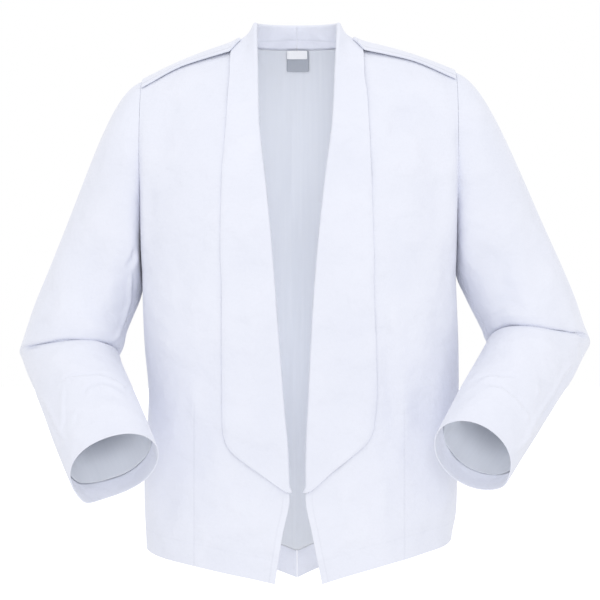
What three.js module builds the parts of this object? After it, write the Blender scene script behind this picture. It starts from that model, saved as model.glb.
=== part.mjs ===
// A short white dress-uniform jacket, filled out as it is when worn, with nobody in it.
// Millimetres, +Z up. The front faces -Y. The origin is at the middle of the neck base, where a wearer
// carries it. The jacket's own right side lies at -X. Every side is worked out with x counted outwards,
// and mirrored last.
import * as THREE from "three";

// Cloth and seams
const CLOTH = 1.5;
const SHAWL_CLOTH = 1.5;
const STRAP_CLOTH = 2.6;
const LINING_CLOTH = 1;
const SEAM_GAP = 0.3;
const SHOULDER_GAP = 0.7;
const ARMHOLE_GAP = 0.7;
const LAPEL_CLEAR = 0.8;
const FACING_CLEAR = 0.6;
const LINING_CLEAR = 0.6;

// Body sections, hem to chest: half widths to the jacket's right and left, depths to the front and back of
// the side line, and how square the section is (2 is an ellipse).
const BODY = [
  { z: -720, right: 193, left: 198, front: 110, back: 105, square: 2.4 },
  { z: -640, right: 195, left: 200, front: 111, back: 101, square: 2.45 },
  { z: -600, right: 197.5, left: 207, front: 112, back: 98, square: 2.5 },
  { z: -570, right: 198, left: 208, front: 112, back: 96, square: 2.5 },
  { z: -455, right: 192, left: 210, front: 113, back: 90, square: 2.5 },
  { z: -390, right: 197, left: 209, front: 116, back: 94, square: 2.6 },
  { z: -310, right: 200, left: 206, front: 120, back: 104, square: 2.8 },
  { z: -280, right: 201, left: 205, front: 121, back: 107, square: 2.8 },
];
const SIDE_SEAM_Y = 10;

// The open front, from the centre line to each visible edge.
const OPENING = [
  { z: -690, right: 28, left: 32.5 },
  { z: -625, right: 18, left: 19.5 },
  { z: -575, right: 8.5, left: 10.5 },
  { z: -529, right: 9.6, left: 10.5 },
  { z: -455, right: 15.8, left: 13.5 },
  { z: -356, right: 23.3, left: 18.5 },
  { z: -256, right: 30.7, left: 25.5 },
];

// Hem and chest heights, at the side seam and at the front edge or the centre back
const HEM_FRONT = -685;
const HEM_BACK = -706;
const HEM_FRONT_CURVE = 1.4;
const HEM_BACK_CURVE = 1.66;
const CHEST_SIDE = -290;
const CHEST_FRONT = -310;

// Shoulders and neck
const NECK_POINT = { x: 66, y: 16, z: 5 };
const NECK_BACK = { y: 80, z: 9 };
const SHOULDER_CROWN = 5;
const OVER_SHOULDER = { y: 0.95, z: 0.24 };
const BACK_OVER = [
  { u: 0, behind: 1, above: 0.1 },
  { u: 0.3, behind: 0.96, above: 0.27 },
  { u: 0.5, behind: 1, above: 0.22 },
  { u: 0.6, behind: 1, above: 0.12 },
  { u: 0.72, behind: 0.88, above: -0.45 },
  { u: 0.86, behind: 0.5, above: -0.85 },
  { u: 1, behind: 0.3, above: -0.95 },
];
const CORNER_SOFT = 0.08;
const FRONT_ROUNDING = 62;
const BACK_ROUNDING = 55;
const CHEST_REACH = 165;
const ARMHOLE_FRONT = 92;
const ARMHOLE_BACK = 64;
const ARMHOLE_RISE = 60;
const ARMHOLE_TOP_REACH = 76;
const CAP_FULLNESS = 22;
const ARMHOLE_BLEND = 0.45;
const NECK_SHARE = 0.6;

// The shawl collar: the lapel's width by the height of the edge it leaves, how far the collar stands off the
// neckline, and the strip turned to the inside.
const LAPEL = [
  { z: -571, right: 1.5, left: 2.5 },
  { z: -554.5, right: 30, left: 25 },
  { z: -540, right: 55.5, left: 48.5 },
  { z: -531, right: 67.5, left: 62 },
  { z: -522, right: 73.5, left: 73.5 },
  { z: -505, right: 77, left: 81 },
  { z: -470, right: 75, left: 82.5 },
  { z: -430, right: 72, left: 80.5 },
  { z: -390, right: 69, left: 78 },
  { z: -350, right: 66, left: 74 },
  { z: -310, right: 62.5, left: 69.5 },
  { z: -262, right: 55, left: 60.5 },
  { z: -216, right: 49, left: 53.5 },
  { z: -173, right: 44, left: 48 },
  { z: -134, right: 38, left: 42.5 },
  { z: -99, right: 33, left: 37 },
  { z: -68, right: 28.5, left: 32 },
  { z: -41, right: 24.5, left: 26 },
  { z: -20, right: 23, left: 23.5 },
  { z: 5, right: 20, left: 20 },
];
const STAND = [
  { z: -110, inward: 1.5, forward: 0, up: 0 },
  { z: -66, inward: 5.5, forward: 1, up: 2 },
  { z: -40, inward: 8, forward: 2, up: 7 },
  { z: -20, inward: 9.5, forward: 2.5, up: 13 },
  { z: -6, inward: 10.5, forward: 3, up: 19 },
  { z: 5, inward: 11, forward: 4, up: 24 },
];
const STAND_BACK = { forward: 9, up: 24 };
const FALL_BACK = 25;
const BREAK_HEIGHT = -571;
const EDGE_TUCK = 4.5;
const FACING_STRIP = 22;
const STAND_TURN = 6;
const LAPEL_LIFT = 1.6;
const NECK_LIFT = 2.5;
const FALL_DROP = 0.42;

// Sleeve: distances run along the arm from the elbow, negative above it.
const CAP_END = 88;
const MITRE_SPREAD = 84;
const SLEEVE = [
  { run: -88, right: 62.5, left: 65.5 },
  { run: -45, right: 62, left: 64.5 },
  { run: -15, right: 61, left: 60.5 },
  { run: 50, right: 58.5, left: 58.5 },
  { run: 150, right: 55.5, left: 56 },
  { run: 256, right: 51, left: 51 },
];
const FRONT_SEAM = -72;
const BACK_SEAM = 144;
const BACK_SEAM_AT_CUFF = 108;
const VENT_CORNER = 15;
const VENT_SPREAD = 26;

// The fold across the inside of the elbow: each row stands out from the tube and slides along it.
const ELBOW_FOLD = [
  { run: -44, out: 0, slide: 0 },
  { run: -24, out: 3, slide: 0 },
  { run: -12, out: 5, slide: 3 },
  { run: -5, out: 2.5, slide: 6 },
  { run: 0, out: -9, slide: 0.5 },
  { run: 6, out: -6, slide: -1 },
  { run: 14, out: -1, slide: 0 },
  { run: 30, out: 0.5, slide: 0 },
];
const FOLD_CENTRE = 0;
const FOLD_HALF = 78;
const FOLD_FADE = 50;

// How far the cloth of the upper arm hangs down over the forearm at the fold, by the turn round the elbow
const ELBOW_DROP = [
  { turn: -70, right: 0, left: 0 },
  { turn: -30, right: 6, left: 0 },
  { turn: 0, right: 14, left: 2 },
  { turn: 30, right: 20, left: 10 },
  { turn: 60, right: 21, left: 14 },
  { turn: 90, right: 15, left: 7 },
  { turn: 125, right: 4, left: 0 },
  { turn: 150, right: 0, left: 0 },
];
const DROP_ABOVE = 80;
const DROP_BELOW = 140;

// Shoulder straps
const STRAP_HALF = 22;
const STRAP_TIP_LENGTH = 15;
const STRAP_TIP_HALF = 2.5;
const STRAP_LENGTH = 133;
const STRAP_FORWARD = 5;
const STRAP_LIFT = [
  { run: 0, lift: 8.5 },
  { run: 8, lift: 6.4 },
  { run: 20, lift: 5.2 },
  { run: 60, lift: 4.2 },
  { run: 105, lift: 3 },
  { run: 133, lift: 0.8 },
];
const STRAP_EDGE_LIFT = 1.2;

// Lining and labels
const LINING_HEM = 36;
const LINING_TOP = 10;
const LINING_CORNER = 7;
const CUFF_TURN = 30;
const CUFF_LINING_ROWS = 3;
const LABEL_TOP = 5.5;
const WHITE_LABEL = { half: 15, length: 13 };
const GREY_LABEL = { half: 15.5, length: 30, shift: 1.5 };
const LABEL_ROWS = 3;
const LABEL_CLEAR = 1.2;

// How the panels are divided
const V_CHEST = 0.5;
const UPPER_ROWS = [0, 0.12, 0.25, 0.38, 0.5, 0.61, 0.71, 0.8, 0.88, 0.94, 0.97, 1];
const FRONT_EDGE_ROWS = [-685, -645, -608, -571, -554.5, -540, -531, -522, -505, -470, -430, -390, -350, -310];
const FRONT_FINE_ROWS = [4, 6, 8];
const FRONT_COLUMNS = 12;
const SHOULDER_COLUMNS = 6;
const NECK_COLUMNS = 6;
const BACK_LOWER_ROWS = 6;
const ARM_RUNS = [14, 30, 46, 64, 76, 83, 88, 94, 102, 118, 140, 170, 210, 255, 285];
const TOP_COLUMNS = 11;
const UNDER_COLUMNS = 7;
const SEAM_MARGIN = 0.16;
const STEP = 0.004;

const SIDES = {
  right: {
    sign: -1,
    hem: -650,
    shoulder: { x: 201, y: 2, z: -47 },
    elbow: { x: 299, y: 8, z: -396 },
    cuff: { x: 220.5, y: -182, z: -531 },
    lean: 0.42,
    oval: 0.1,
    ovalAt: -45,
  },
  left: {
    sign: 1,
    hem: -637,
    shoulder: { x: 206, y: 2, z: -35 },
    elbow: { x: 317.5, y: 8, z: -384 },
    cuff: { x: 213, y: -182, z: -519 },
    lean: 0.46,
    oval: 0.02,
    ovalAt: 0,
  },
};

const RAD = Math.PI / 180;
const vec = (x, y, z) => new THREE.Vector3(x, y, z);
const at = (p) => vec(p.x, p.y, p.z);
const mix = (a, b, t) => a + (b - a) * t;
const clamp = (x, low, high) => Math.min(high, Math.max(low, x));

// 0 below low, 1 above high, and smooth between.
function ease(low, high, x) {
  const t = clamp((x - low) / (high - low), 0, 1);
  return t * t * (3 - 2 * t);
}

// One column of a table at any value of its key: a smooth curve that never overshoots its rows.
function read(table, key, column, value) {
  const last = table.length - 1;
  if (value <= table[0][key]) return table[0][column];
  if (value >= table[last][key]) return table[last][column];
  const slope = (i) => (table[i + 1][column] - table[i][column]) / (table[i + 1][key] - table[i][key]);
  const tangent = (i) => {
    if (i === 0) return slope(0);
    if (i === last) return slope(last - 1);
    const before = slope(i - 1);
    const after = slope(i);
    return before * after <= 0 ? 0 : (2 * before * after) / (before + after);
  };
  const i = table.findIndex((row, k) => k < last && value < table[k + 1][key]);
  const width = table[i + 1][key] - table[i][key];
  const t = (value - table[i][key]) / width;
  const start = table[i][column];
  const end = table[i + 1][column];
  const turn = (1 - t) * (width * tangent(i) * (1 - t) - width * tangent(i + 1) * t) * t;
  return mix(start, end, t * t * (3 - 2 * t)) + turn;
}

function bezier(a, b, c, d, t) {
  const s = 1 - t;
  return vec(0, 0, 0)
    .addScaledVector(a, s * s * s)
    .addScaledVector(b, 3 * s * s * t)
    .addScaledVector(c, 3 * s * t * t)
    .addScaledVector(d, t * t * t);
}

// A point of the body's section at a height. Turn 0 is the centre back, 90 degrees the side, 180 the centre front.
function sectionPoint(name, z, turn) {
  const power = 2 / read(BODY, "z", "square", z);
  const depth = Math.cos(turn) > 0 ? read(BODY, "z", "back", z) : -read(BODY, "z", "front", z);
  const width = read(BODY, "z", name, z);
  return vec(width * Math.sin(turn) ** power, depth * Math.abs(Math.cos(turn)) ** power, z);
}

// A point a share of the way along the section between two turns, counted by length.
function alongSection(name, z, from, to, share) {
  const count = 40;
  const turns = Array.from({ length: count + 1 }, (_, i) => mix(from, to, i / count));
  const points = turns.map((turn) => sectionPoint(name, z, turn));
  const lengths = [0];
  for (let i = 1; i <= count; i++) lengths.push(lengths[i - 1] + points[i].distanceTo(points[i - 1]));
  const wanted = share * lengths[count];
  let i = 1;
  while (i < count && lengths[i] < wanted) i++;
  const t = (wanted - lengths[i - 1]) / (lengths[i] - lengths[i - 1]);
  return sectionPoint(name, z, mix(turns[i - 1], turns[i], t));
}

function sideTurn(z) {
  const half = read(BODY, "z", "square", z) / 2;
  return Math.acos((SIDE_SEAM_Y / read(BODY, "z", "back", z)) ** half);
}

// The front panel's edge lies a little behind the visible one wherever the collar wraps it.
function edgeTurn(name, z) {
  const half = read(BODY, "z", "square", z) / 2;
  const tuck = EDGE_TUCK * ease(BREAK_HEIGHT - 4, BREAK_HEIGHT + 10, z);
  const x = read(OPENING, "z", name, z) + tuck;
  return Math.PI - Math.asin((x / read(BODY, "z", name, z)) ** half);
}

const frontLevel = (name, z, u) => alongSection(name, z, sideTurn(z), edgeTurn(name, z), u);
const backLevel = (name, z, u) => alongSection(name, z, sideTurn(z), 0, u);

// The shoulder seam, from the armhole (0) to the neck (1).
function shoulderSeam(name, share) {
  const crown = vec(0, 0, SHOULDER_CROWN * Math.sin(Math.PI * share));
  return at(SIDES[name].shoulder).lerp(at(NECK_POINT), share).add(crown);
}

// The back neckline, from the shoulder seam (0 degrees) to the centre back (90).
function neckline(angle) {
  const rise = Math.sin(angle);
  return vec(
    NECK_POINT.x * Math.cos(angle),
    mix(NECK_POINT.y, NECK_BACK.y, rise),
    mix(NECK_POINT.z, NECK_BACK.z, rise),
  );
}

// A column of cloth from the chest line up and over to where the panel ends.
function upperColumn(level, name, u, t, armholeReach, end, endTangent, rounding) {
  const z = mix(CHEST_SIDE, CHEST_FRONT, u);
  const start = level(name, z, u);
  const below = level(name, z - 8, u);
  const away = ease(0, ARMHOLE_BLEND, u);
  const straight = start.clone().sub(below).normalize().multiplyScalar(CHEST_REACH);
  const round = vec(0, armholeReach, ARMHOLE_RISE);
  const first = start.clone().add(round.lerp(straight, away));
  const second = end.clone().addScaledVector(endTangent, -mix(ARMHOLE_TOP_REACH, rounding, away));
  return bezier(start, first, second, end, t);
}

// The front panel: u runs from the side seam (0) to the front edge (1), v from the hem (0) to the
// shoulder (1).
function front(name, u, v) {
  if (v <= V_CHEST) {
    const hem = mix(SIDES[name].hem, HEM_FRONT, u ** HEM_FRONT_CURVE);
    return frontLevel(name, mix(hem, mix(CHEST_SIDE, CHEST_FRONT, u), v / V_CHEST), u);
  }
  const over = vec(0, mix(1, OVER_SHOULDER.y, ease(0, ARMHOLE_BLEND, u)), mix(0.1, OVER_SHOULDER.z, u));
  const t = (v - V_CHEST) / (1 - V_CHEST);
  const end = shoulderSeam(name, u);
  return upperColumn(frontLevel, name, u, t, -ARMHOLE_FRONT, end, over.normalize(), FRONT_ROUNDING);
}

// Where a column of the back ends, on the shoulder seam or the neckline, and the way it comes over.
function backEnd(name, u) {
  const round = Math.max(0, (u - NECK_SHARE) / (1 - NECK_SHARE)) * (Math.PI / 2);
  const p = u < NECK_SHARE ? shoulderSeam(name, u / NECK_SHARE) : neckline(round);
  const over = vec(0, -read(BACK_OVER, "u", "behind", u), -read(BACK_OVER, "u", "above", u)).normalize();
  return { p, over };
}

// The back panel: u runs from the side seam (0) to the centre back (1), v from the hem to the shoulder
// and neck.
function back(name, u, v) {
  if (v <= V_CHEST) {
    const hem = mix(SIDES[name].hem, HEM_BACK, u ** HEM_BACK_CURVE);
    return backLevel(name, mix(hem, mix(CHEST_SIDE, CHEST_FRONT, u), v / V_CHEST), u);
  }
  const t = (v - V_CHEST) / (1 - V_CHEST);
  const end = backEnd(name, u);
  const near = [Math.max(0, u - CORNER_SOFT), Math.min(1, u + CORNER_SOFT)].map((x) => backEnd(name, x).p);
  const own = mix(0.5, 1, ease(0, 0.24, Math.abs(u - NECK_SHARE)));
  const soft = near[0].add(near[1]).multiplyScalar(0.5).lerp(end.p, own);
  const corner = end.p.clone().sub(soft).multiplyScalar(ease(0.6, 1, t));
  return upperColumn(backLevel, name, u, t, ARMHOLE_BACK, soft, end.over, BACK_ROUNDING).add(corner);
}

// A surface's point with its outward normal. Hand is 1 or -1, whichever makes the normal point out.
function skin(surface, u, v, hand, step = STEP) {
  const low = [Math.max(0, u - step), Math.max(0, v - step)];
  const high = [Math.min(1, u + step), Math.min(1, v + step)];
  const across = surface(high[0], v).sub(surface(low[0], v));
  const up = surface(u, high[1]).sub(surface(u, low[1]));
  return { p: surface(u, v), n: across.cross(up).normalize().multiplyScalar(hand) };
}

const frontSkin = (name, u, v) => skin((a, b) => front(name, a, b), u, v, -1);
const backSkin = (name, u, v) => skin((a, b) => back(name, a, b), u, v, 1);
const moved = (s, distance) => s.p.clone().addScaledVector(s.n, distance);

// A closed wall of cloth: the outer points, and inner ones a thickness behind them. A ring's columns join up.
// Both faces are cut along the same diagonals, and leans says in which columns these lean the other way.
function wall(outer, inner, ring = false, leans = () => false) {
  const rows = outer.length;
  const columns = outer[0].length;
  const points = [...outer.flat(), ...inner.flat()];
  const id = (row, column, layer) => layer * rows * columns + row * columns + (column % columns);
  const faces = [];
  const quad = (a, b, c, d) => faces.push(a, b, c, a, c, d);
  const spans = ring ? columns : columns - 1;
  for (let r = 0; r < rows - 1; r++) {
    for (let c = 0; c < spans; c++) {
      const corners = [id(r, c, 0), id(r, c + 1, 0), id(r + 1, c + 1, 0), id(r + 1, c, 0)];
      if (leans(c)) corners.push(corners.shift());
      const [a, b, d, e] = corners;
      const behind = rows * columns;
      quad(a, b, d, e);
      quad(a + behind, e + behind, d + behind, b + behind);
    }
  }
  for (let c = 0; c < spans; c++) {
    quad(id(0, c, 1), id(0, c + 1, 1), id(0, c + 1, 0), id(0, c, 0));
    quad(id(rows - 1, c, 0), id(rows - 1, c + 1, 0), id(rows - 1, c + 1, 1), id(rows - 1, c, 1));
  }
  if (!ring) {
    for (let r = 0; r < rows - 1; r++) {
      quad(id(r, 0, 0), id(r + 1, 0, 0), id(r + 1, 0, 1), id(r, 0, 1));
      const end = columns - 1;
      quad(id(r + 1, end, 0), id(r, end, 0), id(r, end, 1), id(r + 1, end, 1));
    }
  }
  return { points, faces };
}

// A wall from a grid of points with normals, its outer face moved by an offset along them.
function clothWall(grid, thickness, offset = 0, ring = false, leans = undefined) {
  const face = (distance) => grid.map((row) => row.map((s) => moved(s, distance)));
  return wall(face(offset), face(offset - thickness), ring, leans);
}

// The signed volume says whether the faces point out, and they are turned round if they don't.
function meshOf(name, shape, sign, material) {
  const position = new Float32Array(shape.points.flatMap((p) => [p.x * sign, p.y, p.z]));
  let volume = 0;
  for (let i = 0; i < shape.faces.length; i += 3) {
    const [a, b, c] = [0, 1, 2].map((k) => vec().fromArray(position, shape.faces[i + k] * 3));
    volume += a.dot(b.cross(c));
  }
  const faces = volume < 0 ? shape.faces.slice().reverse() : shape.faces;
  const geometry = new THREE.BufferGeometry();
  geometry.setAttribute("position", new THREE.BufferAttribute(position, 3));
  geometry.setIndex(faces);
  geometry.computeVertexNormals();
  const mesh = new THREE.Mesh(geometry, material.clone());
  mesh.name = name;
  return mesh;
}

const shares = (count) => Array.from({ length: count + 1 }, (_, i) => i / count);
const backColumns = [
  ...shares(SHOULDER_COLUMNS).map((t) => t * NECK_SHARE),
  ...shares(NECK_COLUMNS).slice(1).map((t) => mix(NECK_SHARE, 1, t)),
];
const trimmed = (share, gap, length) => clamp(share, gap / 2 / length, 1 - gap / 2 / length);
const belowShoulder = (v) => (v === 1 ? trimmed(v, SHOULDER_GAP, 700) : v);
const upperRows = UPPER_ROWS.map((t) => mix(V_CHEST, 1, t));
const liningHem = (V_CHEST * LINING_HEM) / 390;
const backRows = [0, ...shares(BACK_LOWER_ROWS).map((t) => mix(liningHem, V_CHEST, t)), ...upperRows.slice(1)];
const frontRows = FRONT_EDGE_ROWS.map((z) => (V_CHEST * (z - HEM_FRONT)) / (CHEST_FRONT - HEM_FRONT));

const backLean = (column) => column < SHOULDER_COLUMNS;

function frontPanel(name) {
  const rows = [...frontRows.filter((v, i) => !FRONT_FINE_ROWS.includes(i)), ...upperRows.slice(1)];
  const columns = shares(FRONT_COLUMNS).map((u) => (u === 0 ? trimmed(u, SEAM_GAP, 280) : u));
  const grid = rows.map((v) => columns.map((u) => frontSkin(name, u, belowShoulder(v))));
  return clothWall(grid, CLOTH, 0, false, () => true);
}

function backPanel(name) {
  const columns = backColumns.map((u) => trimmed(u, SEAM_GAP, 280));
  const grid = backRows.map((v) => columns.map((u) => backSkin(name, u, belowShoulder(v))));
  return clothWall(grid, CLOTH, 0, false, backLean);
}

// The stations of the collar, from the centre back round the neck and down the front edge to its lower end.
// Each gives the panel's skin at a distance from its edge, how far the collar stands off, and its width.
function collarStations(name) {
  const around = shares(NECK_COLUMNS).slice(0, -1).map((s) => {
    const angle = (1 - s) * (Math.PI / 2);
    const u = mix(NECK_SHARE, 1, 1 - s);
    const reach = (d) => [u - (Math.cos(angle) * d) / 250, 1 - (Math.sin(angle) * d) / 670];
    return {
      surface: (d) => backSkin(name, ...reach(d)),
      stand: vec(
        -read(STAND, "z", "inward", 5) * Math.cos(angle),
        -mix(read(STAND, "z", "forward", 5), STAND_BACK.forward, Math.sin(angle)),
        mix(read(STAND, "z", "up", 5), STAND_BACK.up, Math.sin(angle)),
      ),
      width: mix(read(LAPEL, "z", name, 5), FALL_BACK, Math.sin(angle)),
      inside: STAND_TURN,
    };
  });
  const rows = [...upperRows.slice().reverse(), ...frontRows.slice().reverse().slice(1)];
  const down = rows.filter((v) => v >= frontRows[3] - 1e-6).map((v) => {
    const points = shares(12).map((u) => front(name, u, v));
    const length = points.slice(1).reduce((sum, p, i) => sum + p.distanceTo(points[i]), 0);
    const z = front(name, 1, v).z;
    return {
      surface: (d) => frontSkin(name, 1 - d / length, v),
      stand: vec(
        -read(STAND, "z", "inward", z),
        -read(STAND, "z", "forward", z),
        read(STAND, "z", "up", z),
      ),
      width: read(LAPEL, "z", name, z),
      inside: mix(FACING_STRIP, STAND_TURN, ease(-90, -10, z)),
    };
  });
  return [...around, ...down];
}

// The collar's cloth folds over the panel's edge: a strip inside, the roll, and the fall or lapel outside.
function shawlCollar(name) {
  const outside = LAPEL_CLEAR + SHAWL_CLOTH;
  const inside = -(CLOTH + FACING_CLEAR + SHAWL_CLOTH);
  const radius = (outside - inside) / 2;
  const middle = (outside + inside) / 2;
  const stations = collarStations(name);
  const rolls = stations.map((s) => s.surface(0).p.add(s.stand));
  const outer = [];
  const inner = [];
  stations.forEach((s, i) => {
    const edge = s.surface(0);
    const along = rolls[Math.min(i + 1, rolls.length - 1)].clone().sub(rolls[Math.max(i - 1, 0)]).normalize();
    const off = s.stand.clone().addScaledVector(along, -s.stand.dot(along)).normalize();
    const out = along.clone().cross(off).normalize();
    if (out.dot(edge.n) < 0) out.negate();
    const beyond = edge.p.clone().sub(s.surface(3).p).setLength(Math.min(1, s.stand.length() / 10));
    const centre = rolls[i].clone().addScaledVector(out, middle);
    const turned = (angle, r) =>
      centre.clone().addScaledVector(out, r * Math.sin(angle)).addScaledVector(off, r * Math.cos(angle));
    const profile = (layer) => {
      const r = radius - layer;
      const line = [];
      const start = turned(-Math.PI / 2, r);
      const end = turned(Math.PI / 2, r);
      const root = moved(edge, inside + layer).addScaledVector(beyond, FACING_CLEAR + SHAWL_CLOTH - layer);
      for (const share of [1, 0.5]) line.push(moved(s.surface(s.inside * share), inside + layer));
      for (const share of [0, 0.5]) line.push(root.clone().lerp(start, share));
      for (const turn of [-90, -45, 0, 45, 90]) line.push(turned(turn * RAD, r));
      const neck = ease(-130, -50, edge.p.z);
      const last = moved(s.surface(s.width), outside - layer + NECK_LIFT * neck);
      const bend = end.clone().addScaledVector(off, -FALL_DROP * end.distanceTo(last));
      const edgeLift = LAPEL_LIFT * (1 - ease(-200, -60, edge.p.z));
      for (const share of [0.12, 0.28, 0.46, 0.64, 0.82, 1]) {
        const lift = NECK_LIFT * neck * ease(0, 0.3, share) + edgeLift * share * share;
        const lying = moved(s.surface(s.width * share), outside - layer + lift);
        lying.addScaledVector(end.clone().sub(moved(edge, outside - layer)), (1 - share) ** 3);
        line.push(lying.lerp(bezier(end, bend, bend, last, share), ease(-55, -10, edge.p.z)));
      }
      if (i === 0) line.forEach((p) => (p.x = SEAM_GAP / 2));
      return line;
    };
    outer.push(profile(0));
    inner.push(profile(SHAWL_CLOTH));
  });
  return wall(outer, inner);
}

// The shoulder near its seam: a share along it from the neck, and a distance in front of it (or behind).
function shoulderSkin(name, share, ahead) {
  const half = 1 - V_CHEST;
  if (ahead >= 0) return frontSkin(name, share, 1 - (half * ahead) / (3 * FRONT_ROUNDING));
  return backSkin(name, share * NECK_SHARE, 1 + (half * ahead) / (3 * BACK_ROUNDING));
}

// The strap lies along the shoulder seam, its end caught at the armhole and its point over the collar.
function shoulderStrap(name) {
  const length = shoulderSeam(name, 0).distanceTo(shoulderSeam(name, 1));
  const runs = [0, 5, 10, STRAP_TIP_LENGTH, 24, 36, 48, 60, 72, 84, 96, 108, 120, STRAP_LENGTH];
  const scale = (length - 9) / STRAP_LENGTH;
  const grid = runs.map((run) => {
    const half = mix(STRAP_TIP_HALF, STRAP_HALF, Math.min(1, run / STRAP_TIP_LENGTH));
    const share = 1 - (run * scale + 7.5) / length;
    return shares(6).map((c) => {
      const s = shoulderSkin(name, share, STRAP_FORWARD + half * (2 * c - 1));
      const edge = STRAP_EDGE_LIFT * (2 * c - 1) ** 2;
      return { p: moved(s, read(STRAP_LIFT, "run", "lift", run) + edge + STRAP_CLOTH), n: s.n };
    });
  });
  return clothWall(grid, STRAP_CLOTH);
}

// The arm's directions: upper and lower arm, the hinge across the elbow, and the way to the elbow's inside.
function armFrame(name) {
  const { elbow, cuff, lean } = SIDES[name];
  const upper = vec(lean, 0, -1).normalize();
  const lower = at(cuff).sub(at(elbow));
  const length = lower.length();
  lower.normalize();
  const hinge = lower.clone().cross(upper).normalize();
  const cos = upper.dot(lower);
  const upperIn = lower.clone().addScaledVector(upper, -cos).normalize();
  const lowerIn = lower.clone().multiplyScalar(cos).sub(upper).normalize();
  const ahead = Math.atan2(-hinge.y, -upperIn.y);
  return { upper, lower, length, hinge, upperIn, lowerIn, half: Math.acos(cos) / 2, ahead };
}

// The armhole, from the two panels' own edges: -90 is under the arm, 0 in front, 90 on top, 180 behind.
function armhole(name, angle) {
  const turn = ((((angle + 90) % 360) + 360) % 360) / 180;
  const v = mix(V_CHEST, 1, turn <= 1 ? turn : 2 - turn);
  const p = turn <= 1 ? front(name, 0, v) : back(name, 0, v);
  return p.add(vec(ARMHOLE_GAP, 0, 0));
}

// The sleeve's tube below its cap. The rings lean into a mitre at the elbow, and a fold lies across its
// inside.
function tube(name, angle, run) {
  const arm = armFrame(name);
  const { elbow, oval, ovalAt } = SIDES[name];
  const turn = angle * RAD + arm.ahead;
  const wrapped = Math.abs(((((turn / RAD - FOLD_CENTRE) % 360) + 540) % 360) - 180);
  const fold = 1 - ease(FOLD_HALF, FOLD_HALF + FOLD_FADE, wrapped);
  const vent = VENT_CORNER * Math.exp(-(((angle - BACK_SEAM_AT_CUFF) / VENT_SPREAD) ** 2));
  const stretch = vent * ease(arm.length - 60, arm.length, run);
  const place = run + fold * read(ELBOW_FOLD, "run", "slide", run) + stretch;
  const flat = oval * ease(40, arm.length, run) * Math.cos(2 * (turn - ovalAt * RAD));
  const radius = read(SLEEVE, "run", name, run) * (1 + flat) + fold * read(ELBOW_FOLD, "run", "out", run);
  const mitre = Math.tan(arm.half * (1 - ease(0, MITRE_SPREAD, Math.abs(run))));
  const above = run <= 0;
  const hang = 1 - ease(0, above ? DROP_ABOVE : DROP_BELOW, Math.abs(run));
  const round = ((((turn / RAD) % 360) + 540) % 360) - 180;
  const axis = above ? arm.upper : arm.lower;
  const lean = (above ? -1 : 1) * radius * Math.cos(turn) * mitre;
  return at(elbow)
    .addScaledVector(axis, place + lean)
    .addScaledVector(above ? arm.upperIn : arm.lowerIn, radius * Math.cos(turn))
    .addScaledVector(arm.hinge, radius * Math.sin(turn))
    .addScaledVector(arm.lower, hang * read(ELBOW_DROP, "turn", name, round));
}

// The whole sleeve: runs from -1 to 0 make the cap, and a positive run is a length along the arm below it.
function sleeve(name, angle, run) {
  if (run >= 0) return tube(name, angle, run - CAP_END);
  const arm = armFrame(name);
  const start = armhole(name, angle);
  const end = tube(name, angle, -CAP_END);
  const chord = start.distanceTo(end);
  const top = 0.5 + 0.5 * Math.sin(angle * RAD);
  const hang = vec(0.09, 0, -1);
  const leave = vec(1.05, 0, 0).addScaledVector(arm.upper, 0.35).normalize().lerp(hang, 1 - top).normalize();
  const first = start.clone().addScaledVector(leave, mix(0.46, 0.15, top) * chord);
  first.y -= CAP_FULLNESS * Math.max(0, Math.cos(angle * RAD));
  const second = end.clone().addScaledVector(arm.upper, -0.5 * chord);
  return bezier(start, first, second, end, 1 + run);
}

const backSeamAt = (run) => mix(BACK_SEAM, BACK_SEAM_AT_CUFF, ease(0, 300, run));

function sleeveSkin(name, angle, run) {
  const small = run < 0 ? 0.004 : 0.4;
  const low = Math.max(-1, run - small);
  const around = sleeve(name, angle + 0.5, run).sub(sleeve(name, angle - 0.5, run));
  const down = sleeve(name, angle, run + (run < 0 ? Math.min(small, -run) : small)).sub(sleeve(name, angle, low));
  return { p: sleeve(name, angle, run), n: down.cross(around).normalize() };
}

// Runs below the cap down to the turned-up cuff, and then the cuff's own.
function sleeveRuns(name) {
  const end = armFrame(name).length + CAP_END;
  return { cap: shares(7).map((t) => t - 1), arm: ARM_RUNS, cuff: [end - CUFF_TURN, end - 12, end] };
}

function sleeveAngles(run, under) {
  const seam = backSeamAt(run);
  const [from, to] = under ? [seam, FRONT_SEAM + 360] : [FRONT_SEAM, seam];
  return shares(under ? UNDER_COLUMNS : TOP_COLUMNS).map((t) => mix(from + SEAM_MARGIN, to - SEAM_MARGIN, t));
}

// One of a sleeve's two pieces, between its front and back seams.
function sleevePiece(name, under) {
  const { cap, arm, cuff } = sleeveRuns(name);
  const grid = [...cap, ...arm, ...cuff].map((run) =>
    sleeveAngles(run, under).map((angle) => sleeveSkin(name, angle, run)),
  );
  return clothWall(grid, CLOTH);
}

function cuffLining(name) {
  const { arm, cuff } = sleeveRuns(name);
  const grid = [...arm.slice(-CUFF_LINING_ROWS), cuff[0]].map((run) =>
    [...sleeveAngles(run, false).slice(0, -1), ...sleeveAngles(run, true).slice(0, -1)].map((angle) =>
      sleeveSkin(name, angle, run),
    ),
  );
  return clothWall(grid, LINING_CLOTH, -(CLOTH + LINING_CLEAR), true);
}

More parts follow.
